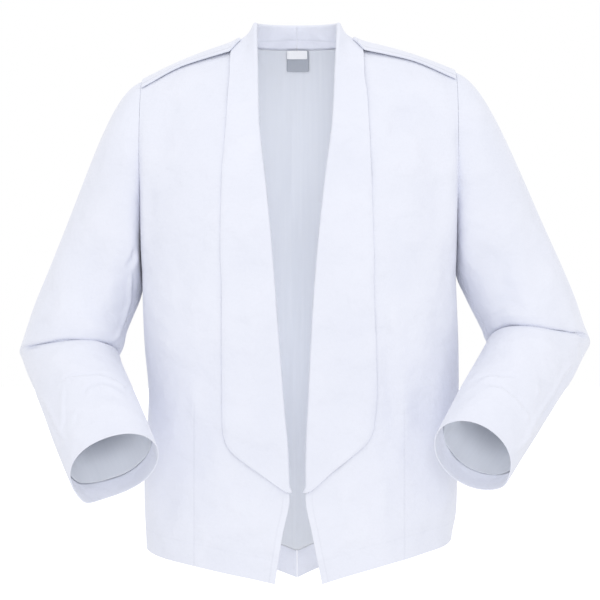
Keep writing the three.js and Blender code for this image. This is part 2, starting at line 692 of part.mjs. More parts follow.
// The lining inside the back, whole from side to side, between the collar's edge and the turned-up hem.
function backLining() {
  const levels = backRows.slice(1, -1);
  const middle = backColumns.length - 1;
  const half = (name, columns, v) =>
    columns.map((u) => {
      const corner = LINING_CORNER * Math.max(0, 1 - Math.abs(u - NECK_SHARE) / 0.1);
      const s = backSkin(name, u, Math.min(v, 1 - (LINING_TOP + corner) / 670));
      s.p.x *= SIDES[name].sign;
      s.n.x *= SIDES[name].sign;
      return s;
    });
  const grid = levels.map((v) => [
    ...half("right", backColumns, v),
    ...half("left", backColumns.slice(0, -1).reverse(), v),
  ]);
  const leans = (c) => (c < middle ? backLean(c) : !backLean(2 * middle - 1 - c));
  return clothWall(grid, LINING_CLOTH, -(CLOTH + LINING_CLEAR), false, leans);
}

// A small label that hangs from the neck seam against the lining.
function label({ half, length, shift = 0 }, top, depth) {
  const columns = [-half + shift, 0, half + shift];
  const rows = shares(LABEL_ROWS).map((t) => 1 - (top + length * t) / 400);
  const grid = rows.map((v) =>
    columns.map((x) => {
      const angle = Math.acos(Math.abs(x) / NECK_POINT.x);
      const s = backSkin(x < 0 ? "right" : "left", mix(NECK_SHARE, 1, angle / (Math.PI / 2)), v);
      const sign = x < 0 ? -1 : 1;
      s.p.x *= sign;
      s.n.x *= sign;
      return s;
    }),
  );
  return clothWall(grid, LINING_CLOTH, -depth);
}

const cloth = new THREE.MeshStandardMaterial({ color: 0xf1f2fb, roughness: 0.85, metalness: 0 });
const lining = new THREE.MeshStandardMaterial({ color: 0xd3d7de, roughness: 0.6, metalness: 0 });
const greyTape = new THREE.MeshStandardMaterial({ color: 0xb9bfc8, roughness: 0.7, metalness: 0 });

const jacket = new THREE.Group();
for (const [name, { sign }] of Object.entries(SIDES)) {
  const add = (piece, shape, material = cloth) => jacket.add(meshOf(`${piece}_${name}`, shape, sign, material));
  add("front", frontPanel(name));
  add("back", backPanel(name));
  add("shawl", shawlCollar(name));
  add("strap", shoulderStrap(name));
  add("sleeve_top", sleevePiece(name, false));
  add("sleeve_under", sleevePiece(name, true));
  add("lining_cuff", cuffLining(name), lining);
}
const liningFace = CLOTH + LINING_CLEAR + LINING_CLOTH + LABEL_CLEAR;
jacket.add(meshOf("lining_back", backLining(), 1, lining));
jacket.add(meshOf("label_grey", label(GREY_LABEL, LABEL_TOP, liningFace), 1, greyTape));
const labelFace = liningFace + LINING_CLOTH + LINING_CLEAR;
jacket.add(meshOf("label_white", label(WHITE_LABEL, LABEL_TOP, labelFace), 1, cloth));

export default jacket;
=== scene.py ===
"""A short white dress-uniform jacket, filled out with nobody in it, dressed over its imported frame.

Sizes are in millimetres and turn to metres as each piece is made. The front faces -Y and the origin is the
middle of the neck base. Each half is worked out with x counted outwards from the centre, and mirrored last.
"""

import logging
from collections.abc import Callable, Sequence
from dataclasses import dataclass, field
from enum import Enum

import bmesh
import bpy
import numpy as np
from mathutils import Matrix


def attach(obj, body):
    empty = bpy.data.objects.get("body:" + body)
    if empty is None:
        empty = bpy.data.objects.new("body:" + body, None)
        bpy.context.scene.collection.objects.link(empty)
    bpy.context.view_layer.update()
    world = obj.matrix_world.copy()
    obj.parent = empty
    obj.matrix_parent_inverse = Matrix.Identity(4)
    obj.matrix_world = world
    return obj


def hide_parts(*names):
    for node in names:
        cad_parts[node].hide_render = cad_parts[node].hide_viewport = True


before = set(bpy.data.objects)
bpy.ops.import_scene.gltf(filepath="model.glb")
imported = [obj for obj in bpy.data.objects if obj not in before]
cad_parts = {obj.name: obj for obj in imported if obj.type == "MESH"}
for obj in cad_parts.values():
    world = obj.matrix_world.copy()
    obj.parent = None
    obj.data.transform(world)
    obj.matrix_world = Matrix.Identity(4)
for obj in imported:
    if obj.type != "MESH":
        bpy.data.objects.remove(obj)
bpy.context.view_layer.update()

logging.basicConfig(level=logging.INFO, format="%(message)s")
log = logging.getLogger("dress_jacket")

Array = np.ndarray
Table = Sequence[Sequence[float]]
Material = bpy.types.Material
Piece = bpy.types.Object
Socket = bpy.types.NodeSocket
Tree = bpy.types.NodeTree
MM = 0.001
CLOTH = 1.5
LINING_CLOTH = 1.0
LINING_CLEAR = 0.6
STRAP_CLOTH = 2.6

# Body sections, hem to chest: height, half widths right and left, depths front and back, squareness
BODY = (
    (-720, 193, 198, 110, 105, 2.4),
    (-640, 195, 200, 111, 101, 2.45),
    (-600, 197.5, 207, 112, 98, 2.5),
    (-570, 198, 208, 112, 96, 2.5),
    (-455, 192, 210, 113, 90, 2.5),
    (-390, 197, 209, 116, 94, 2.6),
    (-310, 200, 206, 120, 104, 2.8),
    (-280, 201, 205, 121, 107, 2.8),
)
SIDE_SEAM_Y = 10

# The open front: height, and the centre line to the right and left edges
OPENING = (
    (-690, 28, 32.5),
    (-625, 18, 19.5),
    (-575, 8.5, 10.5),
    (-529, 9.6, 10.5),
    (-455, 15.8, 13.5),
    (-356, 23.3, 18.5),
    (-256, 30.7, 25.5),
)

# The shawl lapel: height of the edge it leaves, and its width right and left
LAPEL = (
    (-571, 1.5, 2.5),
    (-554.5, 30, 25),
    (-540, 55.5, 48.5),
    (-531, 67.5, 62),
    (-522, 73.5, 73.5),
    (-505, 77, 81),
    (-470, 75, 82.5),
    (-430, 72, 80.5),
    (-390, 69, 78),
    (-350, 66, 74),
    (-310, 62.5, 69.5),
    (-262, 55, 60.5),
    (-216, 49, 53.5),
    (-173, 44, 48),
    (-134, 38, 42.5),
    (-99, 33, 37),
    (-68, 28.5, 32),
    (-41, 24.5, 26),
    (-20, 23, 23.5),
    (5, 20, 20),
)
# How the collar stands off the neckline: height, inward, forward, up
STAND = (
    (-110, 1.5, 0, 0),
    (-66, 5.5, 1, 2),
    (-40, 8, 2, 7),
    (-20, 9.5, 2.5, 13),
    (-6, 10.5, 3, 19),
    (5, 11, 4, 24),
)
# The way a column of the back comes over the shoulder: share, behind, above
BACK_OVER = (
    (0, 1, 0.1),
    (0.3, 0.96, 0.27),
    (0.5, 1, 0.22),
    (0.6, 1, 0.12),
    (0.72, 0.88, -0.45),
    (0.86, 0.5, -0.85),
    (1, 0.3, -0.95),
)
# Sleeve radius: run along the arm from the elbow, right and left
SLEEVE = (
    (-88, 62.5, 65.5),
    (-45, 62, 64.5),
    (-15, 61, 60.5),
    (50, 58.5, 58.5),
    (150, 55.5, 56),
    (256, 51, 51),
)
# The fold across the inside of the elbow: run, how far it stands out, how far it slides down the arm
ELBOW_FOLD = (
    (-44, 0, 0),
    (-24, 2.5, 1),
    (-12, 4.5, 4),
    (-5, 4, 8),
    (-1.5, 1, 8),
    (1, -6, 3),
    (5, -5, 0),
    (11, -2, -0.5),
    (22, 0, 0),
)
# How far the cloth of the upper arm hangs down over the forearm there: turn round the elbow, right and left
ELBOW_DROP = (
    (-70, 0, 0),
    (-30, 6, 0),
    (0, 14, 2),
    (30, 20, 10),
    (60, 21, 14),
    (90, 15, 7),
    (125, 4, 0),
    (150, 0, 0),
)
# The strap's lift off the shoulder by the run from its pointed end
STRAP_LIFT = ((0, 7), (8, 5), (20, 3.4), (60, 1.8), (105, 1.2), (133, 0.6))

CHEST_SIDE, CHEST_FRONT = -290, -310
NECK_POINT = np.array([66.0, 16.0, 5.0])
NECK_BACK_Y, NECK_BACK_Z = 80, 9
NECK_SHARE = 0.6
ARMHOLE_BLEND = 0.45
EYE = np.array([4.0, -2600.0, -331.0])


def mix(a: Array | float, b: Array | float, t: Array | float) -> Array:
    """A value a share of the way from a to b."""
    return a + (b - a) * t


def ease(low: float, high: float, x: Array | float) -> Array:
    """0 below low, 1 above high, and smooth between."""
    t = np.clip((x - low) / (high - low), 0, 1)
    return t * t * (3 - 2 * t)


def unit(v: Array) -> Array:
    """The same directions with a length of one."""
    return v / np.maximum(np.linalg.norm(v, axis=-1, keepdims=True), 1e-9)


def length_of(v: Array) -> Array:
    """Lengths, kept as a last axis of one."""
    return np.linalg.norm(v, axis=-1, keepdims=True)


def travelled(points: Array, axis: int) -> Array:
    """How far each point of a grid lies from the first one along an axis, by way of those between."""
    steps = np.linalg.norm(np.diff(points, axis=axis), axis=-1)
    return np.insert(np.cumsum(steps, axis=axis), 0, 0, axis=axis)


def row_lengths(points: Array) -> Array:
    """The whole length of each row of a grid, kept as a last axis of one."""
    return np.linalg.norm(np.diff(points, axis=1), axis=-1).sum(axis=1)[:, None]


def xyz(x: Array | float, y: Array | float, z: Array | float) -> Array:
    """Points from three arrays or numbers of one shape."""
    return np.stack(np.broadcast_arrays(x, y, z), axis=-1).astype(float)


def curve(table: Table, column: int, x: Array | float) -> Array:
    """Read one column of a table at any value of its first column.

    Args:
        table: rows in rising order of their first number.
        column: which number of a row to read.
        x: where to read it.

    Returns:
        Smooth values that never overshoot the rows.
    """
    rows = np.asarray(table, float)
    key, value = rows[:, 0], rows[:, column]
    x = np.clip(x, key[0], key[-1])
    slope = np.diff(value) / np.diff(key)
    before, after = slope[:-1], slope[1:]
    total = np.where(before * after > 0, before + after, 1)
    inner = np.where(before * after > 0, 2 * before * after / total, 0)
    tangent = np.concatenate([slope[:1], inner, slope[-1:]])
    i = np.clip(np.searchsorted(key, x, side="right") - 1, 0, len(key) - 2)
    width = key[i + 1] - key[i]
    t = (x - key[i]) / width
    turn = (1 - t) * (width * tangent[i] * (1 - t) - width * tangent[i + 1] * t) * t
    return mix(value[i], value[i + 1], t * t * (3 - 2 * t)) + turn


def bezier(a: Array, b: Array, c: Array, d: Array, t: Array) -> Array:
    """Points of a cubic curve, at shares t that already carry a last axis of one."""
    s = 1 - t
    return a * s**3 + b * 3 * s * s * t + c * 3 * s * t * t + d * t**3


def seen(points: Array) -> Array:
    """Where points stand in front view, as (x, z) on the plane of the side seams."""
    near = -EYE[1] / (points[..., 1] - EYE[1])
    x = EYE[0] + (points[..., 0] - EYE[0]) * near
    return np.stack([x, EYE[2] + (points[..., 2] - EYE[2]) * near], axis=-1)


class Faces(Enum):
    """Which way cloth has to face to take a crease."""

    FRONT = -1
    BACK = 1


@dataclass(frozen=True)
class Crease:
    """A soft ridge or trough of the cloth along a line, in front view."""

    line: tuple[tuple[float, float], ...]
    height: float
    width: float
    lip: float = 0.0
    fade: float = 18.0
    faces: Faces = Faces.FRONT

    def relief(self, place: Array, facing: Array) -> Array:
        """Height of the crease over the cloth.

        Args:
            place: points in front view, with a last axis of two.
            facing: the y of each point's normal.

        Returns:
            Millimetres outwards, one for each point.
        """
        line = np.asarray(self.line, float)
        steps = np.diff(line, axis=0)
        spans = np.linalg.norm(steps, axis=1)
        best = np.full(place.shape[:-1], 1e9)
        side = np.zeros_like(best)
        run = np.zeros_like(best)
        done = 0.0
        for start, step, span in zip(line, steps, spans):
            off = place - start
            t = np.clip((off @ step) / span**2, 0, 1)
            gap = np.linalg.norm(off - t[..., None] * step, axis=-1)
            nearer = gap < best
            cross = step[0] * off[..., 1] - step[1] * off[..., 0]
            side = np.where(nearer, np.sign(cross) * gap, side)
            run = np.where(nearer, done + t * span, run)
            best = np.minimum(best, gap)
            done += span
        ends = ease(0, self.fade, run) * ease(0, self.fade, done - run)
        ridge = self.height * np.exp(-((side / self.width) ** 2))
        lip = self.lip * np.exp(-(((side - 1.7 * self.width) / self.width) ** 2))
        return (ridge + lip) * ends * ease(0.05, 0.4, facing * self.faces.value)


def creased(points: Array, normals: Array, creases: Sequence[Crease], keep: Array | float = 1) -> Array:
    """Move points along their normals by every crease, in full front-view place."""
    place = seen(points)
    lift = sum((c.relief(place, normals[..., 1]) for c in creases), np.zeros(points.shape[:-1]))
    return points + normals * (lift * keep)[..., None]


def grid_normals(points: Array) -> Array:
    """Normals of a grid of points, rows upwards and columns across."""
    return unit(np.cross(np.gradient(points, axis=1), np.gradient(points, axis=0)))


# Fixed directions and wavelengths of the cloth's broad unevenness
SWELLS = ((0.9, 0.2, 96, 0.4), (0.35, 0.95, 141, 1.9), (-0.7, 0.6, 74, 3.1), (1, -0.25, 57, 5.2))


def swell(points: Array) -> Array:
    """Gentle unevenness of hanging cloth, between about -1 and 1."""
    waves = [
        np.sin(2 * np.pi * (points[..., 0] * a + points[..., 2] * b + 0.6 * points[..., 1]) / wave + turn)
        for a, b, wave, turn in SWELLS
    ]
    return sum(waves) / len(waves) * 1.6


@dataclass
class Skin:
    """A cloth surface sampled on a grid of shares, read anywhere between."""

    us: Array
    vs: Array
    points: Array
    hand: int
    normals: Array = field(init=False)

    def __post_init__(self) -> None:
        """Work out the outward normals from the grid."""
        across = np.gradient(self.points, self.us, axis=1)
        up = np.gradient(self.points, self.vs, axis=0)
        self.normals = unit(np.cross(across, up)) * self.hand

    def _read(self, values: Array, u: Array, v: Array) -> Array:
        """Read a grid between its own shares.

        Args:
            values: points or normals on the skin's grid.
            u: shares across.
            v: shares up.

        Returns:
            One vector for each pair of shares.
        """
        count_u, count_v = len(self.us) - 1, len(self.vs) - 1
        x = np.clip(u, 0, 1) * count_u
        y = np.clip(v, 0, 1) * count_v
        i = np.minimum(x.astype(int), count_u - 1)
        j = np.minimum(y.astype(int), count_v - 1)
        s, t = (x - i)[..., None], (y - j)[..., None]
        low = mix(values[j, i], values[j, i + 1], s)
        return mix(low, mix(values[j + 1, i], values[j + 1, i + 1], s), t)

    def at(self, u: Array | float, v: Array | float) -> tuple[Array, Array]:
        """Points and outward normals at shares across and up."""
        u, v = np.broadcast_arrays(np.asarray(u, float), np.asarray(v, float))
        return self._read(self.points, u, v), unit(self._read(self.normals, u, v))


@dataclass(frozen=True)
class Half:
    """One side of the jacket and the sizes that are its own.

    The column is the side's place in the tables, and the lean is the upper arm's slope outwards. The sleeve
    grows oval along a direction in degrees. The dart stands that far out at the waist. The vent is how far
    the cuff's corner hangs, at an angle round the sleeve.
    """

    name: str
    sign: int
    column: int
    hem: float
    shoulder: tuple[float, float, float]
    elbow: tuple[float, float, float]
    cuff: tuple[float, float, float]
    lean: float
    oval: float
    oval_at: float
    dart: float
    vent_at: float
    vent: float

    @property
    def mirror(self) -> Array:
        """What turns a half's own x, counted outwards, to the jacket's."""
        return np.array([self.sign, 1, 1])


RIGHT = Half(
    name="right",
    sign=-1,
    column=1,
    hem=-650,
    shoulder=(201, 2, -47),
    elbow=(299, 8, -396),
    cuff=(220.5, -182, -531),
    lean=0.42,
    oval=0.1,
    oval_at=-45,
    dart=134,
    vent_at=128,
    vent=23,
)
LEFT = Half(
    name="left",
    sign=1,
    column=2,
    hem=-637,
    shoulder=(206, 2, -35),
    elbow=(317.5, 8, -384),
    cuff=(213, -182, -519),
    lean=0.46,
    oval=0.02,
    oval_at=0,
    dart=140,
    vent_at=112,
    vent=14,
)


@dataclass(frozen=True)
class PanelCut:
    """How a front or a back panel is cut: its hem's middle and curve, and how it goes round the armhole."""

    hem_middle: float
    hem_curve: float
    reach: float
    rounding: float
    hand: int


FRONT_CUT = PanelCut(hem_middle=-685, hem_curve=1.4, reach=-92, rounding=62, hand=-1)
BACK_CUT = PanelCut(hem_middle=-706, hem_curve=1.66, reach=64, rounding=55, hand=1)


@dataclass
class BodyForm:
    """The filled-out shape of one half of the body, front and back."""

    half: Half
    front: Skin = field(init=False)
    back: Skin = field(init=False)
    chest_reach: float = 165
    armhole_rise: float = 60
    armhole_top: float = 76
    uneven: float = 1.3
    edge_tuck: float = 4.5
    crown: float = 5

    def __post_init__(self) -> None:
        """Sample both skins."""
        self.front = self.skin(FRONT_CUT, self.front_level, self.front_ends)
        self.back = self.skin(BACK_CUT, self.back_level, self.back_ends)

    def skin(self, cut: PanelCut, level: Callable, ends_of: Callable) -> Skin:
        """Sample one panel from its hem to its shoulder.

        Args:
            cut: the panel's own sizes.
            level: gives the panel's points at their heights.
            ends_of: gives where its columns end, how they come over, and the corner.

        Returns:
            The skin, a little uneven as hanging cloth is.
        """
        us, vs = np.linspace(0, 1, 101), np.linspace(0, 1, 201)
        low, high = vs[vs <= 0.5], (vs[vs > 0.5] - 0.5) / 0.5
        grid_u, grid_v = np.meshgrid(us, low)
        hem = mix(self.half.hem, cut.hem_middle, grid_u**cut.hem_curve)
        z = mix(hem, mix(CHEST_SIDE, CHEST_FRONT, grid_u), grid_v / 0.5)
        ends, over, corner = ends_of(us)
        above = self.upper(level, us, high, cut, ends, over)
        above += corner[None] * ease(0.6, 1, high)[:, None, None]
        even = Skin(us, vs, np.concatenate([level(z, grid_u), above]), cut.hand)
        calm = ease(0.02, 0.3, us)[None, :] * (1 - ease(0.8, 0.96, vs))[:, None]
        lift = swell(even.points * self.half.mirror) * calm * self.uneven
        return Skin(us, vs, even.points + even.normals * lift[..., None], cut.hand)

    def section(self, z: Array, turn: Array) -> Array:
        """Points of the body's section; turn 0 is the centre back, 90 degrees the side."""
        power = 2 / curve(BODY, 5, z)
        depth = np.where(np.cos(turn) > 0, curve(BODY, 4, z), -curve(BODY, 3, z))
        x = curve(BODY, self.half.column, z) * np.abs(np.sin(turn)) ** power
        return xyz(x, depth * np.abs(np.cos(turn)) ** power, z)

    def along(self, z: Array, start: Array, end: Array | float, share: Array) -> Array:
        """Divide the section between two turns by its length.

        Args:
            z: heights.
            start: the turn that a share of 0 stands for.
            end: the turn that a share of 1 stands for.
            share: shares of the length between them.

        Returns:
            A point of the section for each height and share.
        """
        turns = mix(np.asarray(start)[..., None], np.asarray(end)[..., None], np.linspace(0, 1, 41))
        turns = np.broadcast_to(turns, (*z.shape, 41))
        points = self.section(np.broadcast_to(z[..., None], turns.shape), turns)
        lengths = travelled(points, z.ndim)
        wanted = (share * lengths[..., -1])[..., None]
        i = np.clip((lengths[..., 1:] < wanted).sum(-1, keepdims=True), 0, 39)
        low, high = (np.take_along_axis(lengths, i + k, -1) for k in (0, 1))
        t = (wanted - low) / (high - low)
        turn = mix(np.take_along_axis(turns, i, -1), np.take_along_axis(turns, i + 1, -1), t)[..., 0]
        return self.section(z, turn)

    def side_turn(self, z: Array) -> Array:
        """The turn of the side seam."""
        return np.arccos((SIDE_SEAM_Y / curve(BODY, 4, z)) ** (curve(BODY, 5, z) / 2))

    def front_level(self, z: Array, u: Array) -> Array:
        """Points of the front panel at their heights, side seam to front edge."""
        x = curve(OPENING, self.half.column, z) + self.edge_tuck * ease(-575, -561, z)
        edge = np.pi - np.arcsin((x / curve(BODY, self.half.column, z)) ** (curve(BODY, 5, z) / 2))
        return self.along(z, self.side_turn(z), edge, u)

    def back_level(self, z: Array, u: Array) -> Array:
        """Points of the back at their heights, side seam to centre back."""
        return self.along(z, self.side_turn(z), np.zeros_like(z), u)

    def shoulder_seam(self, share: Array) -> Array:
        """The shoulder seam, armhole to neck."""
        ends = mix(np.array(self.half.shoulder, float), NECK_POINT, share[..., None])
        return ends + xyz(0, 0, self.crown * np.sin(np.pi * share))

    def front_ends(self, us: Array) -> tuple[Array, Array, Array]:
        """Where the front's columns end, the way they come over, and no corner."""
        over = unit(xyz(0, mix(1, 0.95, ease(0, ARMHOLE_BLEND, us)), mix(0.1, 0.24, us)))
        return self.shoulder_seam(us), over, np.zeros((len(us), 3))

    def neckline(self, angle: Array) -> Array:
        """The back neckline, shoulder seam to centre back."""
        across, rise = NECK_POINT[0] * np.cos(angle), np.sin(angle)
        return xyz(across, mix(NECK_POINT[1], NECK_BACK_Y, rise), mix(NECK_POINT[2], NECK_BACK_Z, rise))

    def back_end(self, us: Array) -> Array:
        """Where the back's columns end, on the shoulder seam and then the neckline."""
        seam = self.shoulder_seam(np.minimum(us / NECK_SHARE, 1))
        neck = self.neckline(np.maximum(0, (us - NECK_SHARE) / (1 - NECK_SHARE)) * np.pi / 2)
        return np.where((us < NECK_SHARE)[..., None], seam, neck)

    def back_ends(self, us: Array) -> tuple[Array, Array, Array]:
        """Softened ends of the back's columns, the way over, and what the corner adds back."""
        over = unit(xyz(0, -curve(BACK_OVER, 1, us), -curve(BACK_OVER, 2, us)))
        end = self.back_end(us)
        near = (self.back_end(np.maximum(0, us - 0.08)) + self.back_end(np.minimum(1, us + 0.08))) / 2
        soft = mix(near, end, mix(0.5, 1, ease(0, 0.24, np.abs(us - NECK_SHARE)))[..., None])
        return soft, over, end - soft

    def upper(
        self, level: Callable, us: Array, ts: Array, cut: PanelCut, end: Array, over: Array
    ) -> Array:
        """Columns of cloth from the chest line up and over the shoulder.

        Args:
            level: the panel's own level method.
            us: shares across.
            ts: shares up the columns.
            cut: the panel's own sizes.
            end: where each column ends.
            over: the way each comes over.

        Returns:
            A grid of points, rows by ts and columns by us.
        """
        z = mix(CHEST_SIDE, CHEST_FRONT, us)
        start, below = level(z, us), level(z - 8, us)
        away = ease(0, ARMHOLE_BLEND, us)[:, None]
        side = np.array([0, cut.reach, self.armhole_rise], float)
        first = start + mix(side, unit(start - below) * self.chest_reach, away)
        second = end - over * mix(self.armhole_top, cut.rounding, away)
        return bezier(start[None], first[None], second[None], end[None], ts[:, None, None])


@dataclass
class SleeveForm:
    """The bent tube of one sleeve, with its cap, its elbow fold and its cuff."""

    body: BodyForm
    cap_end: float = 88
    mitre_spread: float = 84
    fold_half: float = 78
    fold_fade: float = 50
    drop_above: float = 80
    drop_below: float = 140
    cap_fullness: float = 22
    low_fullness: float = 9
    low_at: float = -52
    low_spread: float = 26
    vent_spread: float = 23
    gap: float = 0.1

    def __post_init__(self) -> None:
        """Work out the arm's directions."""
        half = self.body.half
        self.elbow = np.array(half.elbow, float)
        self.upper = unit(np.array([half.lean, 0, -1.0]))
        lower = np.array(half.cuff, float) - self.elbow
        self.length = float(np.linalg.norm(lower))
        self.lower = unit(lower)
        self.hinge = unit(np.cross(self.lower, self.upper))
        cos = float(self.upper @ self.lower)
        self.upper_in = unit(self.lower - self.upper * cos)
        self.lower_in = unit(self.lower * cos - self.upper)
        self.bend = np.arccos(cos) / 2
        self.ahead = np.arctan2(-self.hinge[1], -self.upper_in[1])

    def armhole(self, angle: Array) -> Array:
        """The armhole from the panels' own edges; -90 is under the arm and 90 on top."""
        turn = ((angle + 90) % 360) / 180
        v = mix(0.5, 1, np.where(turn <= 1, turn, 2 - turn))
        ahead, behind = self.body.front.at(0, v)[0], self.body.back.at(0, v)[0]
        return np.where((turn <= 1)[..., None], ahead, behind) + [self.gap, 0, 0]

    def tube(self, angle: Array, run: Array) -> Array:
        """The sleeve below its cap, with its elbow, its fold there and its vented cuff.

        Args:
            angle: degrees round the sleeve; -90 is under the arm and 90 on top.
            run: millimetres along the arm from the elbow.

        Returns:
            A point for each pair.
        """
        half = self.body.half
        turn = np.radians(angle) + self.ahead
        round_elbow = (np.degrees(turn) % 360 + 540) % 360 - 180
        fold = 1 - ease(self.fold_half, self.fold_half + self.fold_fade, np.abs(round_elbow))
        vent = half.vent * np.exp(-((np.abs(angle - half.vent_at) / self.vent_spread) ** 1.25))
        stretch = vent * ease(self.length - 60, self.length, run)
        place = run + fold * curve(ELBOW_FOLD, 2, run) + stretch
        flat = half.oval * ease(40, self.length, run) * np.cos(2 * (turn - np.radians(half.oval_at)))
        radius = curve(SLEEVE, half.column, run) * (1 + flat) + fold * curve(ELBOW_FOLD, 1, run)
        mitre = np.tan(self.bend * (1 - ease(0, self.mitre_spread, np.abs(run))))
        above = (run <= 0)[..., None]
        lean = np.where(run <= 0, -1, 1) * radius * np.cos(turn) * mitre
        axis = np.where(above, self.upper, self.lower)
        inward = np.where(above, self.upper_in, self.lower_in)
        flung = inward * (radius * np.cos(turn))[..., None] + self.hinge * (radius * np.sin(turn))[..., None]
        hang = 1 - ease(0, 1, np.abs(run) / np.where(run <= 0, self.drop_above, self.drop_below))
        hang = hang * curve(ELBOW_DROP, half.column, round_elbow)
        return self.elbow + axis * (place + lean)[..., None] + flung + self.lower * hang[..., None]

    def surface(self, angle: Array, run: Array) -> Array:
        """The whole sleeve, from the armhole to the cuff.

        Args:
            angle: degrees round the sleeve.
            run: -1 to 0 up and down the cap, and then millimetres below it.

        Returns:
            A point for each pair.
        """
        start, end = self.armhole(angle), self.tube(angle, np.full_like(run, -self.cap_end))
        chord = length_of(end - start)
        top = (0.5 + 0.5 * np.sin(np.radians(angle)))[..., None]
        # The cap leaves the armhole outwards on top, and straight down under the arm
        leave = unit(np.array([1.05, 0, 0]) + self.upper * 0.35)
        leave = unit(mix(leave, np.array([0.09, 0, -1]), 1 - top))
        low = np.exp(-(((angle - self.low_at) / self.low_spread) ** 2))
        forward = self.cap_fullness * np.maximum(0, np.cos(np.radians(angle))) + self.low_fullness * low
        first = start + leave * mix(0.46, 0.15, top) * chord + xyz(0, -forward, 0)
        cap = bezier(start, first, end - self.upper * 0.5 * chord, end, (1 + np.minimum(run, 0))[..., None])
        arm = self.tube(angle, np.maximum(run, 0) - self.cap_end)
        return np.where((run < 0)[..., None], cap, arm)

    def back_seam(self, run: Array) -> Array:
        """The angle of the back seam, which comes forward down the arm."""
        return mix(144, 108, ease(0, 300, run))


class Slot(Enum):
    """The record's material slots."""

    WHITE_CLOTH = "white_cloth"
    GREY_LINING = "grey_lining"
    WHITE_TAPE = "white_tape"
    GREY_TAPE = "grey_tape"


def linear(colour: str) -> tuple[float, float, float, float]:
    """An sRGB hex colour as linear red, green, blue and an alpha of one."""
    parts = [int(colour[i : i + 2], 16) / 255 for i in (1, 3, 5)]
    flat = [p / 12.92 if p <= 0.04045 else ((p + 0.055) / 1.055) ** 2.4 for p in parts]
    return (flat[0], flat[1], flat[2], 1.0)


def feed(tree: Tree, node: bpy.types.Node, inputs: dict) -> None:
    """Set a node's inputs.

    Args:
        tree: the node tree it is in.
        node: the node.
        inputs: its sockets by name or number, with a value or the socket that feeds each.
    """
    for socket, value in inputs.items():
        if isinstance(value, Socket):
            tree.links.new(value, node.inputs[socket])
        else:
            node.inputs[socket].default_value = value


def add(tree: Tree, kind: str, inputs: dict | None = None, out: str | int = 0, **settings: object) -> Socket:
    """Add a node.

    Args:
        tree: the node tree it goes in.
        kind: the shader node's type name, without ShaderNode before it.
        inputs: what feed sets.
        out: which of its outputs is wanted.
        **settings: the node's own properties.

    Returns:
        That output.
    """
    made = tree.nodes.new("ShaderNode" + kind)
    for name, value in settings.items():
        setattr(made, name, value)
    feed(tree, made, inputs or {})
    return made.outputs[out]


def wave_scale(spacing: float) -> float:
    """The scale at which a wave texture's bands stand some millimetres apart on a map in metres."""
    return 2 * np.pi / 20 / (spacing * MM)


def new_material(name: str) -> tuple[Material, Tree, bpy.types.Node]:
    """A material with its node tree and its Principled shader."""
    material = bpy.data.materials.new(name)
    material.use_nodes = True
    tree = material.node_tree
    return material, tree, tree.nodes["Principled BSDF"]


